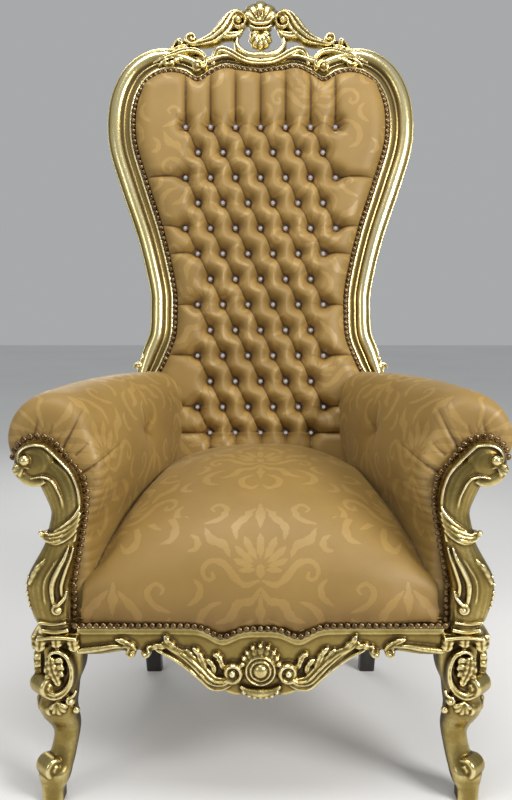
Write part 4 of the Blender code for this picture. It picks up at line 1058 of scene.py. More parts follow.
def corner_folds(row, column):
    """Short folds that leave the outer buttons of the top row, with their strength."""
    distance = np.full(np.shape(row), 0.02)
    strength = np.zeros(np.shape(row))
    x = (np.abs(column) - 3.0) * BUTTON_PITCH
    z = -row * BUTTON_ROW
    for rise, run, reach in CORNER_FOLDS:
        length = math.hypot(rise, run)
        along = (x * run - z * rise) / length
        gap = (x * rise + z * run) / length
        near = (np.abs(gap) < 0.01) & (along > 0) & (along < reach)
        distance = np.where(near, gap, distance)
        strength = np.where(near, 1 - along / reach, strength)
    return distance, strength


def fold_dip(distance, strength, deep, narrow):
    """Depth of a soft valley with a sharper fold at its bottom."""
    valley = np.exp(-((distance / (2.6 * narrow)) ** 2))
    return strength * deep * (0.6 * valley + 0.4 * np.exp(-((distance / narrow) ** 2)))


def pad_depth(x, z, edge_distance, crest_share):
    """How far the buttoned back stands in front of its plane."""
    rise = np.sqrt(1 - (1 - np.clip((edge_distance - 0.0105) / 0.046, 0, 1)) ** 2)
    row = (TOP_BUTTON_Z - z) / BUTTON_ROW
    column = x / BUTTON_PITCH
    falling, falls = button_folds(row, column, 1)
    rising, rises = button_folds(row, column, -1)
    height = 1.0 - 0.86 * button_wells(row, column, 0.0205)
    height = height - fold_dip(falling, falls, 0.3, 0.0042) - fold_dip(rising, rises, 0.15, 0.01)
    height = height - fold_dip(*side_pleats(row, column), 0.42, 0.004)
    height = height - fold_dip(*corner_folds(row, column), 0.3, 0.0035)
    above = smooth_step(-row, 0.0, 0.35) * (np.abs(column) < 3.5)
    flute = np.abs(np.sin(math.pi * column))
    gap = (column - np.clip(np.round(column), -3, 3)) * BUTTON_PITCH
    height = height - above * (1 - 0.3 * crest_share) * fold_dip(gap, 1.0, 0.44, 0.0045)
    height = height - 0.1 * above * (1 - flute) * (np.abs(column) < 3)
    below = smooth_step(row, BUTTON_ROWS - 1.0, BUTTON_ROWS - 0.65) * (np.abs(column) < 2.5)
    gap = (column - np.clip(np.round(column), -2, 2)) * BUTTON_PITCH
    height = height - below * fold_dip(gap, 1.0, 0.44, 0.0045)
    pucker = np.sin(240 * z + 2.0 * np.sin(31 * z)) * np.exp(-np.clip(edge_distance - 0.01, 0, None) / 0.013)
    wander = 0.02 * np.sin(31 * x + 17 * z) * np.sin(23 * z - 11 * x)
    wander = wander + 0.035 * pucker * (0.6 + 0.4 * np.sin(19 * z))
    return PAD_EDGE + (PAD_BULGE + 0.004 - PAD_EDGE) * rise * np.clip(height + wander, 0.03, 1.08)


def pad_folds(x, z):
    """Signed distance to the nearest sharp fold of the back, and how strongly a painted shadow line shows
    along it.
    """
    row = (TOP_BUTTON_Z - z) / BUTTON_ROW
    column = x / BUTTON_PITCH
    distance, shown = button_folds(row, column, 1)
    for gap, strength in (side_pleats(row, column), corner_folds(row, column)):
        distance = np.where(strength > 0.02, gap, distance)
        shown = np.where(strength > 0.02, strength, shown)
    top = (row < -0.04) & (np.abs(column) < 3.3)
    distance = np.where(top, (column - np.round(column)) * BUTTON_PITCH, distance)
    shown = np.where(top, 0.85, shown)
    shown = shown * (1 - smooth_step(np.abs(distance), 0.006, 0.01))
    return distance, shown * smooth_step(np.abs(row), 0.02, 0.06)


def button_places():
    """x and height of every button: seven and six in turn, then five and six."""
    places = []
    for row in range(BUTTON_ROWS):
        most = button_runs(row)
        for share in np.arange(-most, most + 0.1):
            places.append((share * BUTTON_PITCH, TOP_BUTTON_Z - row * BUTTON_ROW))
    return places


def buttoned_back(material):
    """Deep-buttoned back: a grid set to the folds of the cloth, closed round its edge."""
    columns = 281
    u = np.linspace(-1, 1, columns)
    u = u * (0.9 + 0.1 * np.abs(u) ** 3)
    low = RAIL_TOP + PAD_BACK
    heights = np.concatenate([np.linspace(low, 0.6, 60)[:-1], np.linspace(0.6, TOP_BUTTON_Z, 400)[:-1],
                              np.linspace(TOP_BUTTON_Z, CORNER_Z, 60)])
    share = np.clip((heights - TOP_BUTTON_Z) / (CORNER_Z - TOP_BUTTON_Z), 0, 1)[:, None]
    half = (outline_side(heights) - 0.0008)[:, None]
    x = u[None, :] * half
    roof = outline_top(x) - 0.0008
    z = np.where(share > 0, TOP_BUTTON_Z + share * (roof - TOP_BUTTON_Z), heights[:, None])
    z[:, 0] = heights
    z[:, -1] = heights
    edge = np.minimum(np.minimum(half - np.abs(x), roof - z), z - low + 0.02)
    depth = pad_depth(x, z, edge, share)
    front = on_back(x, z, depth)
    bm = bmesh.new()
    skin(bm, front, closed=False, capped=False)
    rim = [edge for edge in bm.edges if edge.is_boundary]
    walls = bmesh.ops.extrude_edge_only(bm, edges=rim)["geom"]
    moved = [item for item in walls if isinstance(item, bmesh.types.BMVert)]
    bmesh.ops.translate(bm, verts=moved, vec=(0, math.cos(RAKE) * PAD_BACK, -math.sin(RAKE) * PAD_BACK))
    back = bmesh.ops.holes_fill(bm, edges=[edge for edge in bm.edges if edge.is_boundary], sides=0)["faces"]
    for face in back:
        face.smooth = False
    pad = piece_from(bm, "damask_back_cushion", material, "damask")
    mesh = pad.data
    points = coordinates(mesh)
    store(mesh, "motif", damask(points[:, 0] + 0.5 * DAMASK_WIDTH, points[:, 2] / math.cos(RAKE) + 0.11))
    drawn_x, drawn_z = np.zeros(len(points)), np.zeros(len(points))
    drawn_x[:x.size] = x.ravel()
    drawn_z[:x.size] = z.ravel()
    # Distance to the sharp folds, and how strongly their painted shadow lines show.
    distance, shown = pad_folds(drawn_x, drawn_z)
    shown[x.size:] = 0
    store(mesh, "fold", distance)
    store(mesh, "crease_shadow", shown)
    mark_relief_shade(mesh, rounds=6, depth=0.0026)
    # Painted shade in the wells round the buttons.
    wells = button_wells((TOP_BUTTON_Z - drawn_z) / BUTTON_ROW, drawn_x / BUTTON_PITCH, 0.0125)
    wells[x.size:] = 0
    add_painted_shade(mesh, 0.42 * wells)
    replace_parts(pad, "back_cushion")


def outside_back(material):
    """Plain padded panel of the outside back, with soft vertical tension."""
    right = OUTLINE[np.linspace(0, len(OUTLINE) - 1, 110).astype(int)][:, :2]
    right[:, 0] -= 0.001
    right[:, 1] -= 0.001
    right[0, 1] = RAIL_TOP + PAD_BACK
    foot = np.linspace(-right[0, 0], right[0, 0], 62)[1:-1]
    rim = np.vstack([whole(right), np.stack([foot, 0 * foot + right[0, 1]], axis=1)])
    middle = np.array([0, RAIL_TOP + OPENING_HEIGHT / 2])
    edge = [(1.0, PAD_BACK + GAP), (1.0, PAD_BACK + 0.8 * PANEL_THICKNESS),
            (0.985, PAD_BACK + PANEL_THICKNESS + 0.002), (0.97, PAD_BACK + PANEL_THICKNESS + 0.004)]
    middle_shares = np.linspace(0.95, 0.01, 60)
    swell = PAD_BACK + PANEL_THICKNESS + 0.005 + 0.009 * (1 - middle_shares**4)
    rows = []
    for share, depth in edge + list(zip(middle_shares, swell)):
        ring = middle + (rim - middle) * share
        rows.append(on_back(ring[:, 0], ring[:, 1], -depth))
    bm = bmesh.new()
    skin(bm, rows)
    cut_caps(bm)
    panel = piece_from(bm, "damask_outside_back", material, "damask")
    mesh = subdivided(panel)
    points = coordinates(mesh)
    store(mesh, "motif", damask(points[:, 0], points[:, 2] / math.cos(RAKE)))
    store(mesh, "relief_shade", np.full(len(points), 0.5))
    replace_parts(panel, "back_panel")


# Length of the simulation that fills the seat and the arms
CLOTH_STEPS = 16


def inflate(piece, voxel, pressure, most, held):
    """Fills a cushion with air under Blender's cloth, and keeps each point within its reach."""
    mesh = remeshed(piece, voxel)
    before = coordinates(mesh)
    pin = piece.vertex_groups.new(name="held")
    fixed = held(before)
    pin.add([int(i) for i in np.flatnonzero(fixed)], 1.0, "REPLACE")
    cloth = piece.modifiers.new("cloth", "CLOTH")
    settings = cloth.settings
    settings.quality = 4
    settings.mass = 0.3
    settings.tension_stiffness = 12
    settings.compression_stiffness = 12
    settings.shear_stiffness = 6
    settings.bending_stiffness = 0.6
    settings.use_pressure = True
    settings.uniform_pressure_force = pressure
    settings.vertex_group_mass = "held"
    settings.effector_weights.gravity = 0
    cloth.collision_settings.use_collision = False
    cloth.collision_settings.use_self_collision = False
    cloth.point_cache.frame_start = 1
    cloth.point_cache.frame_end = CLOTH_STEPS
    for step in range(1, CLOTH_STEPS + 1):
        bpy.context.scene.frame_set(step)
    mesh = evaluated_mesh(piece)
    bpy.context.scene.frame_set(1)
    after = coordinates(mesh)
    move = after - before
    length = np.linalg.norm(move, axis=1)[:, None]
    move *= np.minimum(1, most / np.maximum(length, 1e-9))
    set_coordinates(mesh, before + blurred(mesh, move, 2))
    soften(mesh, 3)
    return subdivided(piece)


SEAT_PROFILE = (
    (0.0, 0.03, 0.0), (0.002, 0.18, 0.1), (0.011, 0.41, 0.28), (0.044, 0.55, 0.4), (0.07, 0.63, 0.46),
    (0.149, 0.74, 0.58), (0.281, 0.87, 0.72), (0.456, 0.95, 0.84), (0.65, 0.99, 0.93), (0.825, 1.0, 0.98),
    (1.0, 0.98, 0.98),
)


def between(front, back, y):
    """Size that runs evenly from the back of the arm supports to the foot of the chair's back."""
    return front + (y - SUPPORT_BACK_Y) / (BACK_Y - SUPPORT_BACK_Y) * (back - front)


def seat_heights(y):
    """Heights of the seat's crown and of its sides at a depth."""
    base = RAIL_TOP + GAP
    shares, crowns, sides = zip(*SEAT_PROFILE)
    ys = [share * (SEAT_DEPTH + SEAT_OVERHANG) - SEAT_OVERHANG for share in shares]
    return (base + np.interp(y, ys, crowns) * (SEAT_CROWN_Z - base),
            base + np.interp(y, ys, sides) * (SEAT_SIDE_Z - base))


# Line over the middle of the seat, from the nails up its front and back over its crown
SEAT_LINE = (
    (-0.006, 0.372), (-0.0105, 0.392), (-0.011, 0.42), (-0.008, 0.45), (-0.002, 0.478), (0.01, 0.503),
    (0.03, 0.528), (0.06, 0.553), (0.1, 0.578), (0.16, 0.603), (0.23, 0.621), (0.31, 0.632), (0.4, 0.638),
    (0.47, 0.639), (0.535, 0.638), (0.577, 0.636),
)


def pad_face_y(z):
    """Depth at which the seat meets the buttoned back."""
    return back_plane_y(z) - PAD_BULGE - 0.0055


def seat(material):
    """Domed seat, stuffed full at its front, drawn down to the rail's nails."""
    line = smooth_curve(SEAT_LINE, 120)
    top = np.array([seat_heights(y) for y in line[:, 0]])
    side_share = np.clip((top[:, 1] - RAIL_TOP) / np.maximum(top[:, 0] - RAIL_TOP, 0.01), 0.62, 1.0)
    u = np.linspace(-1, 1, 110)
    front_half = LEG_X - 0.53 * SUPPORT_WIDTH - 0.003
    rows = []
    for (y, z), share in zip(line, side_share):
        low_end = float(smooth_step(z, 0.372, 0.47))
        side_z = RAIL_TOP + (z - RAIL_TOP) * (1 - (1 - share) * low_end)
        half = front_half if y < SUPPORT_BACK_Y else float(between(ARM_INSIDE_FRONT, ARM_INSIDE_BACK,
                                                                   y)) + 0.004
        half = min(half, front_half) + 0.007 * (1 - low_end) * float(y < 0)
        heights = side_z + (z - side_z) * (1 - np.abs(u) ** 2.4)
        depth = y + 0.02 * np.abs(u) ** 6 * float(smooth_step(y, 0.08, -0.01) if y < 0.08 else 0)
        depth = np.minimum(depth, pad_face_y(heights))
        rows.append(np.stack([u * half, depth, heights], axis=1))
    foot = rows[0].copy()
    foot[:, 2] = apron_top(foot[:, 0]) + 0.0015
    foot[:, 1] = -0.0022
    rows.insert(0, foot)
    tuck = foot.copy()
    tuck[:, 1] = 0.012
    tuck[:, 2] = RAIL_TOP + GAP
    rows.insert(0, tuck)
    end = rows[-1].copy()
    end[:, 2] = RAIL_TOP + GAP
    end[:, 1] = pad_face_y(end[:, 2])
    rows.append(end)
    bm = bmesh.new()
    skin(bm, rows, closed=False, capped=False)
    bmesh.ops.holes_fill(bm, edges=[edge for edge in bm.edges if edge.is_boundary], sides=0)
    cut_caps(bm)
    cushion = piece_from(bm, "damask_seat", material, "damask")

    def held(points):
        y = points[:, 1] - SHIFT_Y
        return (points[:, 2] < RAIL_TOP + 0.012) | (y > 0.52)

    mesh = inflate(cushion, 0.0058, 3.5, 0.007, held)
    points = coordinates(mesh)
    x, y, z = points[:, 0], points[:, 1] - SHIFT_Y, points[:, 2]
    lift = np.clip(z - apron_top(x), 0, None)
    corner = np.exp(-(((np.abs(x) - 0.34) / 0.05) ** 2) - ((z - 0.435) / 0.055) ** 2)
    pulls = np.sin(130 * (z + 0.45 * np.abs(x)) + 1.2 * np.sin(37 * z)) * corner * (y < 0.04)
    gathers = np.sin(2 * math.pi * x / 0.034 + 1.7 * np.sin(23 * x)) * (0.55 + 0.45 * np.sin(11 * x + 1))
    gathers *= np.exp(-lift / 0.014) * (y < 0.02) * smooth_step(lift, 0.002, 0.007)
    tucked = -0.003 * np.exp(-((lift - 0.004) / 0.006) ** 2) * (y < 0.02)
    swell = 0.0012 * np.sin(21 * x + 3) * np.sin(17 * y + 1)
    offset = 0.0018 * pulls + 0.0016 * gathers + swell + tucked
    offset *= z > RAIL_TOP - 0.015
    set_coordinates(mesh, points + normals(mesh) * offset[:, None])
    arc = np.concatenate([[0], np.cumsum(np.linalg.norm(np.diff(line, axis=0), axis=1))])
    steep = np.interp(z, line[:40, 1], arc[:40])
    flat = np.interp(y, line[40:, 0], arc[40:])
    cloth_v = np.where(y < line[40, 0], steep, flat)
    store(mesh, "motif", damask(x, cloth_v - 0.105))
    mark_relief_shade(mesh, rounds=5, depth=0.0018)
    # Painted shade on the seat's front, darkest at the bottom by the nails.
    add_painted_shade(mesh, 0.4 * np.exp(-lift / 0.03) * (y < 0.02))
    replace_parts(cushion, "seat_cushion")


# Creases that run back from the arm supports' nails: start and end, from the support's foot
ARM_CREASES = (
    (-0.06, 0.318, -0.115, 0.358), (-0.029, 0.383, -0.056, 0.44), (0.036, 0.393, 0.029, 0.423),
    (-0.05, 0.356, -0.07, 0.38), (0.006, 0.393, 0.001, 0.412),
)


def arm_creases(x, z):
    """Signed distance to the nearest crease that runs back from the support's nails, and its strength."""
    distance = np.full(len(x), 0.02)
    strength = np.zeros(len(x))
    for start_x, start_z, end_x, end_z in ARM_CREASES:
        run, rise = end_x - start_x, end_z - start_z
        length = math.hypot(run, rise)
        away_x, away_z = x - LEG_X - start_x, z - SUPPORT_FOOT - start_z
        along = (away_x * run + away_z * rise) / length**2
        gap = (away_x * rise - away_z * run) / length + 0.0018 * np.sin(3 * along)
        near = (np.abs(gap) < 0.012) & (along > -0.35) & (along < 1)
        distance = np.where(near, gap, distance)
        strength = np.where(near, np.clip(1 - along, 0, 1) ** 0.5 * min(1.0, length / 0.05), strength)
    return distance, strength


def arm_ring(share, swell):
    """Section of the right arm: upright inside, a roll over the top and a tucked outside."""
    front_y = SUPPORT_BACK_Y + GAP
    roll_z = ROLL_Z_FRONT + share * (ROLL_Z_BACK - ROLL_Z_FRONT) + ARM_CROWN * math.sin(math.pi * share)
    low = RAIL_TOP + GAP
    size = swell * (ROLL_RADIUS_FRONT + share * (ROLL_RADIUS_BACK - ROLL_RADIUS_FRONT))

    def y_at(z):
        plane = back_plane_y(z) - (FRAME_RELIEF + GAP) / math.cos(RAKE)
        return front_y + share * (plane - front_y)

    def inside(z, out):
        y = y_at(z)
        return (float(between(ARM_INSIDE_FRONT, ARM_INSIDE_BACK, y)) - out, y, z)

    drawn = 1 - swell
    ring = [inside(low, -0.02 * drawn), inside(low + 0.1, -0.04 * drawn), inside(low + 0.19, -0.05 * drawn)]
    for rise, bulge in ((0.22, 0.55), (0.45, 0.95), (0.72, 1.0)):
        z = low + 0.19 + rise * (roll_z - low - 0.19)
        ring.append(inside(z, ARM_BULGE * bulge * (1 - 0.8 * share) - 0.06 * drawn))
    for angle_deg in np.linspace(172, -72, 15):
        angle = math.radians(angle_deg)
        y = y_at(roll_z + size * math.sin(angle))
        radius = swell * float(between(ROLL_RADIUS_FRONT, ROLL_RADIUS_BACK, y))
        z = roll_z + radius * math.sin(angle)
        ring.append((float(between(ROLL_X_FRONT, ROLL_X_BACK, y)) + radius * math.cos(angle), y_at(z), z))
    for z in (roll_z - 1.16 * size, roll_z - 1.5 * size, low + 0.12, low + 0.06, low):
        y = y_at(z)
        inner = float(between(ARM_INSIDE_FRONT, ARM_INSIDE_BACK, y))
        ring.append((inner + float(between(ARM_THICKNESS_FRONT, ARM_THICKNESS_BACK, y)), y, z))
    return smooth_curve(ring, 120, axes=3)


# Button on the inner face of each arm
DIMPLE_Y = 0.335
DIMPLE_Z = 0.712


def arm(material):
    """Right arm: rolled over, drawn in round its support, with one button on its inner face."""
    shares = np.concatenate([[0.0, 0.004, 0.01, 0.018, 0.028, 0.042, 0.06], np.linspace(0.085, 1.0, 44)])
    front = np.clip(shares / 0.085, 0, 1)
    swells = 0.68 + 0.345 * np.sqrt(1 - (1 - front) ** 2)
    swells = np.where(shares > 0.085, 1.025 - 0.025 * smooth_step(shares, 0.2, 0.5), swells)
    rows = [arm_ring(share, swell) for share, swell in zip(shares, swells)]
    bm = bmesh.new()
    skin(bm, rows)
    cut_caps(bm)
    cushion = piece_from(bm, "damask_arm_right", material, "damask")

    def held(points):
        y = points[:, 1] - SHIFT_Y
        return (points[:, 2] < 0.47) | (y < SUPPORT_BACK_Y + 0.012) | (y > 0.53)

    mesh = inflate(cushion, 0.0062, 2.5, 0.006, held)
    points = coordinates(mesh)
    facing = normals(mesh)
    x, y, z = points[:, 0], points[:, 1] - SHIFT_Y, points[:, 2]
    roll_x = between(ROLL_X_FRONT, ROLL_X_BACK, y)
    roll_z = ROLL_Z_FRONT + 0.012
    forward = (facing[:, 1] < 0.35) & (y < 0.2)
    distance, strength = arm_creases(x, z)
    strength = strength * forward * smooth_step(0.19 - y, 0.0, 0.06)
    offset = -0.003 * strength * np.exp(-((distance / 0.005) ** 2))
    offset += 0.0012 * strength * np.exp(-(((np.abs(distance) - 0.01) / 0.006) ** 2))
    nail_gap = np.hypot(x - HEAD[0], z - HEAD[1]) - HEAD_RADIUS
    turn = np.arctan2(z - HEAD[1], x - HEAD[0])
    near = np.exp(-np.clip(nail_gap, 0, None) / 0.016) * np.exp(-np.clip(y - SUPPORT_BACK_Y, 0, None) / 0.03)
    gathers = np.sin(27 * turn + 2.2 * np.sin(5 * turn)) * (0.6 + 0.4 * np.sin(8 * turn + 1))
    offset += 0.0014 * gathers * near * (z > HEAD[1] - 0.02)
    inner = (facing[:, 0] < -0.2) & (x < roll_x)
    drawn = np.exp(-np.clip(y - SUPPORT_BACK_Y, 0, None) / 0.04) * inner
    drawn *= 1 - smooth_step(z, HEAD[1] - 0.02, HEAD[1] + 0.02)
    offset += 0.0013 * np.sin(300 * z + 2.0 * np.sin(41 * z)) * drawn * smooth_step(z, 0.44, 0.52)
    reach = np.hypot(y - DIMPLE_Y, z - DIMPLE_Z)
    turn = np.arctan2(z - DIMPLE_Z, y - DIMPLE_Y)
    dimple = -0.005 * np.exp(-((reach / 0.018) ** 2)) - 0.013 * np.exp(-((reach / 0.052) ** 2))
    dimple += 0.0022 * np.cos(5 * turn + 0.6) * np.exp(-reach / 0.045) * smooth_step(reach, 0.008, 0.03)
    offset += dimple * inner
    set_coordinates(mesh, points + facing * offset[:, None])
    over = ROLL_RADIUS_FRONT * np.arctan2(z - roll_z, roll_x - x)
    below = np.where(x < roll_x, z - roll_z, ROLL_RADIUS_FRONT * math.pi + roll_z - z)
    cloth_v = np.where(z < roll_z, below, over)
    store(mesh, "motif", damask(y - 0.06, cloth_v + 0.06))
    # Where the arm's creases get painted shadow lines.
    store(mesh, "fold", distance)
    store(mesh, "crease_shadow", 0.9 * strength * (1 - smooth_step(np.abs(distance), 0.005, 0.01)))
    mark_relief_shade(mesh, rounds=5, depth=0.0018)
    # Painted shade in the button dimple on the arm's inner face.
    add_painted_shade(mesh, 0.12 * np.exp(-((reach / 0.02) ** 2)) * inner)
    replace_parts(cushion, "arm_right")
    return cushion


# Nails and buttons


def joined_copies(name, material, places, draw):
    """One mesh that holds a small shape at each place, set square to its direction."""
    bm = bmesh.new()
    for point, direction, turn in places:
        made = draw(bm)
        rotation = Vector(direction).to_track_quat("Z", "Y").to_matrix().to_4x4()
        placed = Matrix.Translation(Vector(point)) @ rotation @ Matrix.Rotation(turn, 4, "Z")
        bmesh.ops.transform(bm, matrix=placed, verts=made)
    return piece_from(bm, name, material)


def draw_nail(bm):
    """Domed nail head."""
    head = bmesh.ops.create_uvsphere(bm, u_segments=9, v_segments=6, radius=NAIL_RADIUS)["verts"]
    bmesh.ops.scale(bm, vec=(1, 1, 0.62), verts=head)
    return head


def draw_cone(bm, sides, low_radius, high_radius, depth, lift):
    cone = bmesh.ops.create_cone(bm, cap_ends=True, segments=sides, radius1=low_radius, radius2=high_radius,
                                 depth=depth)["verts"]
    bmesh.ops.translate(bm, verts=cone, vec=(0, 0, lift))
    return cone


def draw_crystal(bm):
    """Cut stone: a flat table over a belt of facets."""
    return draw_cone(bm, 8, 0.0072, 0.0042, 0.004, 0.0045)


def draw_setting(bm):
    """Low round cup that holds a stone."""
    return draw_cone(bm, 16, 0.0082, 0.0076, 0.0034, 0.0008)


def nail_row(name, material, path, pitch, facing):
    """Row of nails a pitch apart along a path of three coordinates."""
    length = np.linalg.norm(np.diff(path, axis=0), axis=1).sum()
    row = smooth_curve(path, int(round(length / pitch)) + 1, axes=3)
    joined_copies(name, material, [(p, facing, 0.3 * i) for i, p in enumerate(row)], draw_nail)


def opening_ring(start, out):
    """Line round the opening of the back, moved outwards, from a height upwards."""
    ring = whole(OUTLINE[int(np.argmax(OUTLINE[:, 1] > start)):, :2])
    tangents = directions(ring)
    return ring + np.stack([-tangents[:, 1], tangents[:, 0]], axis=1) * out


def nails(material):
    """Rows of nails round the back, on the front rail, round the arms, on the sides and outside the back."""
    ring = opening_ring(ROLL_Z_BACK + 0.02, 0.006)
    path = on_back(ring[:, 0], ring[:, 1], 0.008)
    nail_row("bronze_nails_back", material, path, BACK_NAIL_PITCH, BACK_FACING)
    x = np.linspace(-0.362, 0.362, 200)
    path = np.stack([x, 0 * x - 0.0085, apron_top(x) + 0.0035], axis=1)
    nail_row("bronze_nails_seat", material, path, NAIL_PITCH, (0, -1, 0))
    rim = np.array([along_support(share, 1.0) for share in np.linspace(0.03, 0.8, 60)])
    outward = directions(rim)
    rim = rim + np.stack([-outward[:, 1], outward[:, 0]], axis=1) * 0.0048
    around = [on_head(turn, 1.15) for turn in np.linspace(150, 8, 24)]
    rim = smooth_curve(np.vstack([rim[:-2], around]), 160)
    arm_path = np.stack([rim[:, 0], 0 * rim[:, 0] + 0.02, rim[:, 1]], axis=1)
    y = np.linspace(SUPPORT_BACK_Y + 0.016, BACK_Y - 0.02, 60)
    x = between(ARM_INSIDE_FRONT + ARM_THICKNESS_FRONT, ARM_INSIDE_BACK + ARM_THICKNESS_BACK, y)
    side_path = np.stack([x + 0.002, y, 0 * y + RAIL_TOP + 0.009], axis=1)
    for row, path, facing in (("arm", arm_path, (0, -1, 0)), ("side", side_path, (0.989, 0.146, 0))):
        for side, name in ((1, "right"), (-1, "left")):
            turned = (side * facing[0], facing[1], 0)
            nail_row(f"bronze_nails_{row}_{name}", material, path * [side, 1, 1], NAIL_PITCH, turned)
    ring = opening_ring(0, 0.009)
    ring = ring[ring[:, 1] > RAIL_TOP + PAD_BACK + 0.012]
    path = on_back(ring[:, 0], ring[:, 1], -PAD_BACK - PANEL_THICKNESS - 0.003)
    nail_row("bronze_nails_outside", material, path, BACK_NAIL_PITCH, tuple(-part for part in BACK_FACING))


def crystals(glass, metal):
    """Clear cut stones on the buttons of the back, in their settings."""
    places = []
    for i, (x, z) in enumerate(button_places()):
        depth = float(pad_depth(np.array([x]), np.array([z]), np.array([0.2]), np.array([0.0]))[0])
        places.append((on_back(x, z, depth + 0.0015), BACK_FACING, 0.9 * i))
    joined_copies("button_settings", metal, places, draw_setting)
    joined_copies("button_crystals", glass, places, draw_crystal).data.shade_flat()


# Finishes


def set_inputs(tree, node, inputs):
    """Sets a node's sockets, each to a value or to another node's output."""
    for socket, value in inputs.items():
        if isinstance(value, bpy.types.NodeSocket):
            tree.links.new(value, node.inputs[socket])
        else:
            node.inputs[socket].default_value = value


def add_node(tree, kind, inputs, **settings):
    node = tree.nodes.new(kind)
    for key, value in settings.items():
        setattr(node, key, value)
    set_inputs(tree, node, inputs)
    return node


def new_material(name):
    """Material, its node tree and the object coordinates that its patterns lie on."""
    material = bpy.data.materials.new(name)
    material.use_nodes = True
    tree = material.node_tree
    return material, tree, add_node(tree, "ShaderNodeTexCoord", {}).outputs["Object"]


def finish(material, **inputs):
    """Sets the shader's inputs, named with an underscore for each space, and gives back the material."""
    tree = material.node_tree
    named = {name.replace("_", " "): value for name, value in inputs.items()}
    set_inputs(tree, tree.nodes["Principled BSDF"], named)
    return material


def ramp(tree, factor, *stops):
    """Colour ramp with (place, linear colour) stops. One number stands for a grey."""
    node = add_node(tree, "ShaderNodeValToRGB", {"Fac": factor})
    elements = node.color_ramp.elements
    while len(elements) < len(stops):
        elements.new(0.5)
    for element, (place, colour) in zip(elements, stops):
        element.position = place
        element.color = (*(colour if isinstance(colour, tuple) else [colour] * 3), 1)
    return node.outputs["Color"]


def noise(tree, place, scale, detail, roughness=0.55):
    inputs = {"Vector": place, "Scale": scale, "Detail": detail, "Roughness": roughness}
    return add_node(tree, "ShaderNodeTexNoise", inputs).outputs["Fac"]


def arithmetic(tree, operation, first, second, third=0.0):
    return add_node(tree, "ShaderNodeMath", {0: first, 1: second, 2: third}, operation=operation).outputs[0]


def scaled_sum(tree, value, factor, rest):
    """value times factor, plus the rest."""
    return arithmetic(tree, "MULTIPLY_ADD", value, factor, rest)


def varied(tree, pattern, amount, rest):
    """The rest, changed by a pattern that swings about 0.5."""
    return scaled_sum(tree, arithmetic(tree, "SUBTRACT", pattern, 0.5), amount, rest)


def kept_value(tree, name):
    return add_node(tree, "ShaderNodeAttribute", {}, attribute_name=name).outputs["Fac"]


def stretched(tree, place, scale):
    return add_node(tree, "ShaderNodeMapping", {"Vector": place, "Scale": scale}).outputs["Vector"]


def bumped(tree, height, strength, distance):
    inputs = {"Height": height, "Strength": strength, "Distance": distance}
    return add_node(tree, "ShaderNodeBump", inputs).outputs["Normal"]


def mixed(tree, blend, factor, first, second):
    """Two colours mixed, or one multiplied by the other."""
    node = add_node(tree, "ShaderNodeMix", {}, data_type="RGBA", blend_type=blend)
    sockets = {"Factor": "VALUE", "A": "RGBA", "B": "RGBA"}
    for (name, kind), value in zip(sockets.items(), (factor, first, second)):
        index = [i for i, s in enumerate(node.inputs) if s.name == name and s.type == kind][0]
        set_inputs(tree, node, {index: value})
    return [s for s in node.outputs if s.type == "RGBA"][0]


def gilt_finish():
    """Gold leaf over ochre: painted highlights on the raised edges, and in the hollows the ochre bole,
    darkened further by painted shade.
    """
    material, tree, place = new_material("gold_leaf")
    speckle = noise(tree, place, 160.0, 3.0, 0.6)
    shade = varied(tree, noise(tree, place, 14.0, 4.0), 0.22, kept_value(tree, "relief_shade"))
    shade = varied(tree, speckle, 0.1, shade)
    # Tone shift: the crest painted paler, the legs darker on their inner and back faces.
    shade = scaled_sum(tree, kept_value(tree, "tone_shift"), 0.55, shade)
    # Near-white painted highlight on raised edges, gold on flat ground, brown bole and near-black painted
    # shade deeper in the hollows.
    colour = ramp(tree, shade, (0.0, (1.0, 0.91, 0.58)), (0.26, (0.74, 0.62, 0.28)),
                  (0.47, (0.295, 0.218, 0.066)), (0.6, (0.19, 0.13, 0.036)), (0.78, (0.085, 0.052, 0.015)),
                  (0.95, (0.035, 0.022, 0.009)))
    metal = ramp(tree, shade, (0.6, 1.0), (0.95, 0.35))
    rough = ramp(tree, shade, (0.0, 0.2), (0.5, 0.29), (0.85, 0.5))
    chased = scaled_sum(tree, noise(tree, place, 55.0, 2.0), 0.6, speckle)
    return finish(material, Base_Color=colour, Metallic=metal, Roughness=rough,
                  Normal=bumped(tree, chased, 0.3, 0.001))


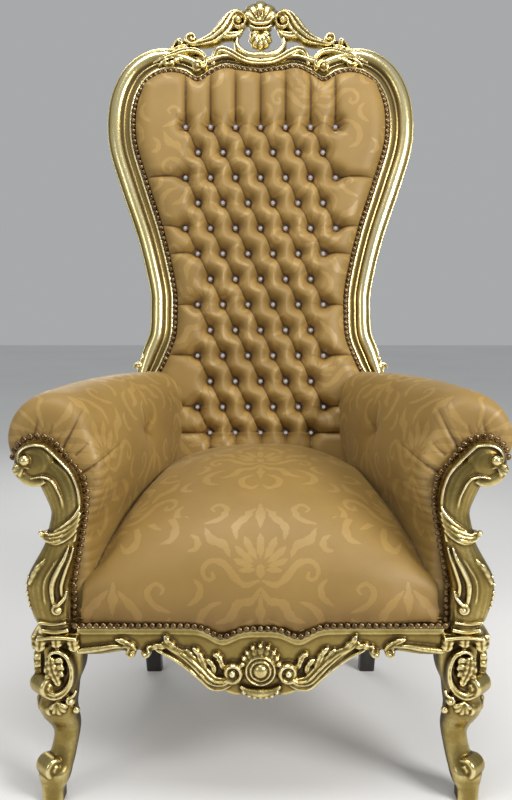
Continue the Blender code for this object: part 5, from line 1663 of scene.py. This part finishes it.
def damask_finish():
    """Golden satin damask: satin motifs on a ribbed ground, with painted shade in the folds and hollows and
    painted shadow lines along the sharp creases.
    """
    material, tree, place = new_material("golden_damask")
    thread = noise(tree, stretched(tree, place, (60.0, 60.0, 700.0)), 1.0, 2.0)
    cloudy = noise(tree, place, 7.0, 3.0)
    frayed = varied(tree, noise(tree, place, 190.0, 2.0), 0.9, kept_value(tree, "motif"))
    motif = ramp(tree, frayed, (0.32, 0.0), (0.68, 1.0))
    ground = ramp(tree, cloudy, (0.3, (0.232, 0.14, 0.032)), (0.7, (0.284, 0.175, 0.043)))
    satin = ramp(tree, cloudy, (0.3, (0.29, 0.18, 0.046)), (0.7, (0.356, 0.226, 0.066)))
    # Painted shade: darker where the cushions are marked as folded or hollow.
    folds = ramp(tree, kept_value(tree, "relief_shade"), (0.5, 1.0), (0.75, (0.66, 0.55, 0.36)),
                 (1.0, (0.32, 0.21, 0.1)))
    shaded = mixed(tree, "MULTIPLY", 1.0, mixed(tree, "MIX", motif, ground, satin), folds)
    # Painted shadow: dark lines drawn along the sharp creases.
    gap = arithmetic(tree, "MULTIPLY", arithmetic(tree, "ABSOLUTE", kept_value(tree, "fold"), 0.0), 400.0)
    line = arithmetic(tree, "MULTIPLY", ramp(tree, gap, (0.12, 1.0), (0.85, 0.0)), kept_value(tree, "crease_shadow"))
    shaded = mixed(tree, "MIX", arithmetic(tree, "MULTIPLY", line, 0.8), shaded, (0.045, 0.024, 0.008, 1))
    rough = scaled_sum(tree, thread, 0.1, scaled_sum(tree, motif, -0.1, 0.5))
    weave = scaled_sum(tree, line, -2.0, scaled_sum(tree, motif, 0.5, thread))
    return finish(material, Base_Color=shaded, Roughness=rough, Normal=bumped(tree, weave, 0.25, 0.0006),
                  Sheen_Weight=0.12, Sheen_Roughness=0.35, Sheen_Tint=(1.0, 0.9, 0.66, 1),
                  Specular_IOR_Level=0.5)


def tarnished_finish(name, scale, dark, bright, rough_range, rough):
    """Metal that is darker and smoother in patches."""
    material, tree, place = new_material(name)
    tarnish = noise(tree, place, scale, 2.0)
    return finish(material, Base_Color=ramp(tree, tarnish, (0.35, dark), (0.65, bright)), Metallic=1.0,
                  Roughness=scaled_sum(tree, tarnish, rough_range, rough))


def crystal_finish():
    """Cut glass with a silvered back, which shines like a bright metal."""
    material, tree, place = new_material("foiled_crystal")
    colour = ramp(tree, noise(tree, place, 260.0, 1.0), (0.35, (0.78, 0.8, 0.86)), (0.6, 1.0))
    return finish(material, Base_Color=colour, Metallic=0.85, Roughness=0.06, Coat_Weight=1.0)


def lacquer_finish():
    """Black lacquer over upright grain."""
    material, tree, place = new_material("black_lacquer_wood")
    grain = noise(tree, stretched(tree, place, (90.0, 90.0, 8.0)), 1.0, 3.0)
    colour = ramp(tree, grain, (0.35, (0.01, 0.008, 0.006)), (0.75, (0.03, 0.021, 0.014)))
    return finish(material, Base_Color=colour, Roughness=scaled_sum(tree, grain, 0.18, 0.3), Coat_Weight=0.3,
                  Normal=bumped(tree, grain, 0.12, 0.0006))


# Studio


def studio_floor():
    material, tree, place = new_material("pale_floor")
    finish(material, Base_Color=ramp(tree, noise(tree, place, 0.6, 2.0), (0.3, 0.76), (0.7, 0.8)),
           Roughness=0.7)
    bm = bmesh.new()
    bmesh.ops.create_grid(bm, x_segments=8, y_segments=8, size=16)
    linked("studio_floor", mesh_from(bm, "studio_floor", material))


def soft_light(name, place, aim, size, power):
    lamp = bpy.data.lights.new(name, "AREA")
    lamp.shape = "RECTANGLE"
    lamp.size, lamp.size_y = size
    lamp.energy = power
    lamp.color = (1.0, 0.98, 0.95)
    light = linked(name, lamp)
    light.location = place
    light.rotation_euler = (Vector(aim) - Vector(place)).to_track_quat("-Z", "Y").to_euler()


def studio():
    """Pale floor and surroundings, soft lights and the camera of the photograph."""
    studio_floor()
    world = bpy.data.worlds.new("studio")
    world.use_nodes = True
    tree = world.node_tree
    set_inputs(tree, tree.nodes["Background"], {"Color": (0.93, 0.95, 0.96, 1), "Strength": 0.42})
    scene = bpy.context.scene
    scene.world = world
    scene.view_settings.view_transform = "Standard"
    soft_light("key", (2.1, -2.0, 2.1), (0, 0, 0.8), (1.1, 1.1), 80)
    soft_light("fill", (-2.3, -2.2, 1.7), (0, 0, 0.8), (0.8, 1.5), 12)
    soft_light("top", (-0.2, -0.7, 3.4), (0, 0.1, 0.8), (1.8, 1.2), 50)
    soft_light("behind", (-1.2, 2.8, 2.4), (0, 0, 1.0), (1.8, 1.8), 22)
    lens = bpy.data.cameras.new("camera")
    lens.sensor_fit = "HORIZONTAL"
    lens.sensor_width = 36
    lens.lens = LENS_MM
    lens.shift_x, lens.shift_y = LENS_SHIFT
    camera = linked("camera", lens)
    camera.location = CAMERA_PLACE
    camera.rotation_euler = (math.pi / 2 - CAMERA_DIP, 0, 0)
    scene.camera = camera


# The chair


gilt = gilt_finish()
cloth = damask_finish()
bronze = tarnished_finish("dark_bronze", 120.0, (0.085, 0.052, 0.026), (0.26, 0.175, 0.09), 0.3, 0.16)
silver = tarnished_finish("silver_setting", 220.0, (0.42, 0.4, 0.37), (0.78, 0.76, 0.72), 0.25, 0.12)
crystal = crystal_finish()
lacquer = lacquer_finish()

back_moulding(gilt)
crest(gilt)
front_rail(gilt)
for make, names in ((side_rail, ("gilt_side_rail_left", "seat_rail_left")),
                    (front_leg, ("gilt_front_leg_left", "front_leg_left")),
                    (arm_support, ("gilt_arm_support_left", "arm_support_left"))):
    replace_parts(left_copy(make(gilt), names[0]), names[1])
buttoned_back(cloth)
outside_back(cloth)
seat(cloth)
left_arm = left_copy(arm(cloth), "damask_arm_left")
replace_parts(left_arm, "arm_left")
nails(bronze)
crystals(crystal, silver)
for node in ("rear_leg_left", "rear_leg_right", "seat_rail_back"):
    for finish_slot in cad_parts[node].material_slots:
        finish_slot.material = lacquer
studio()
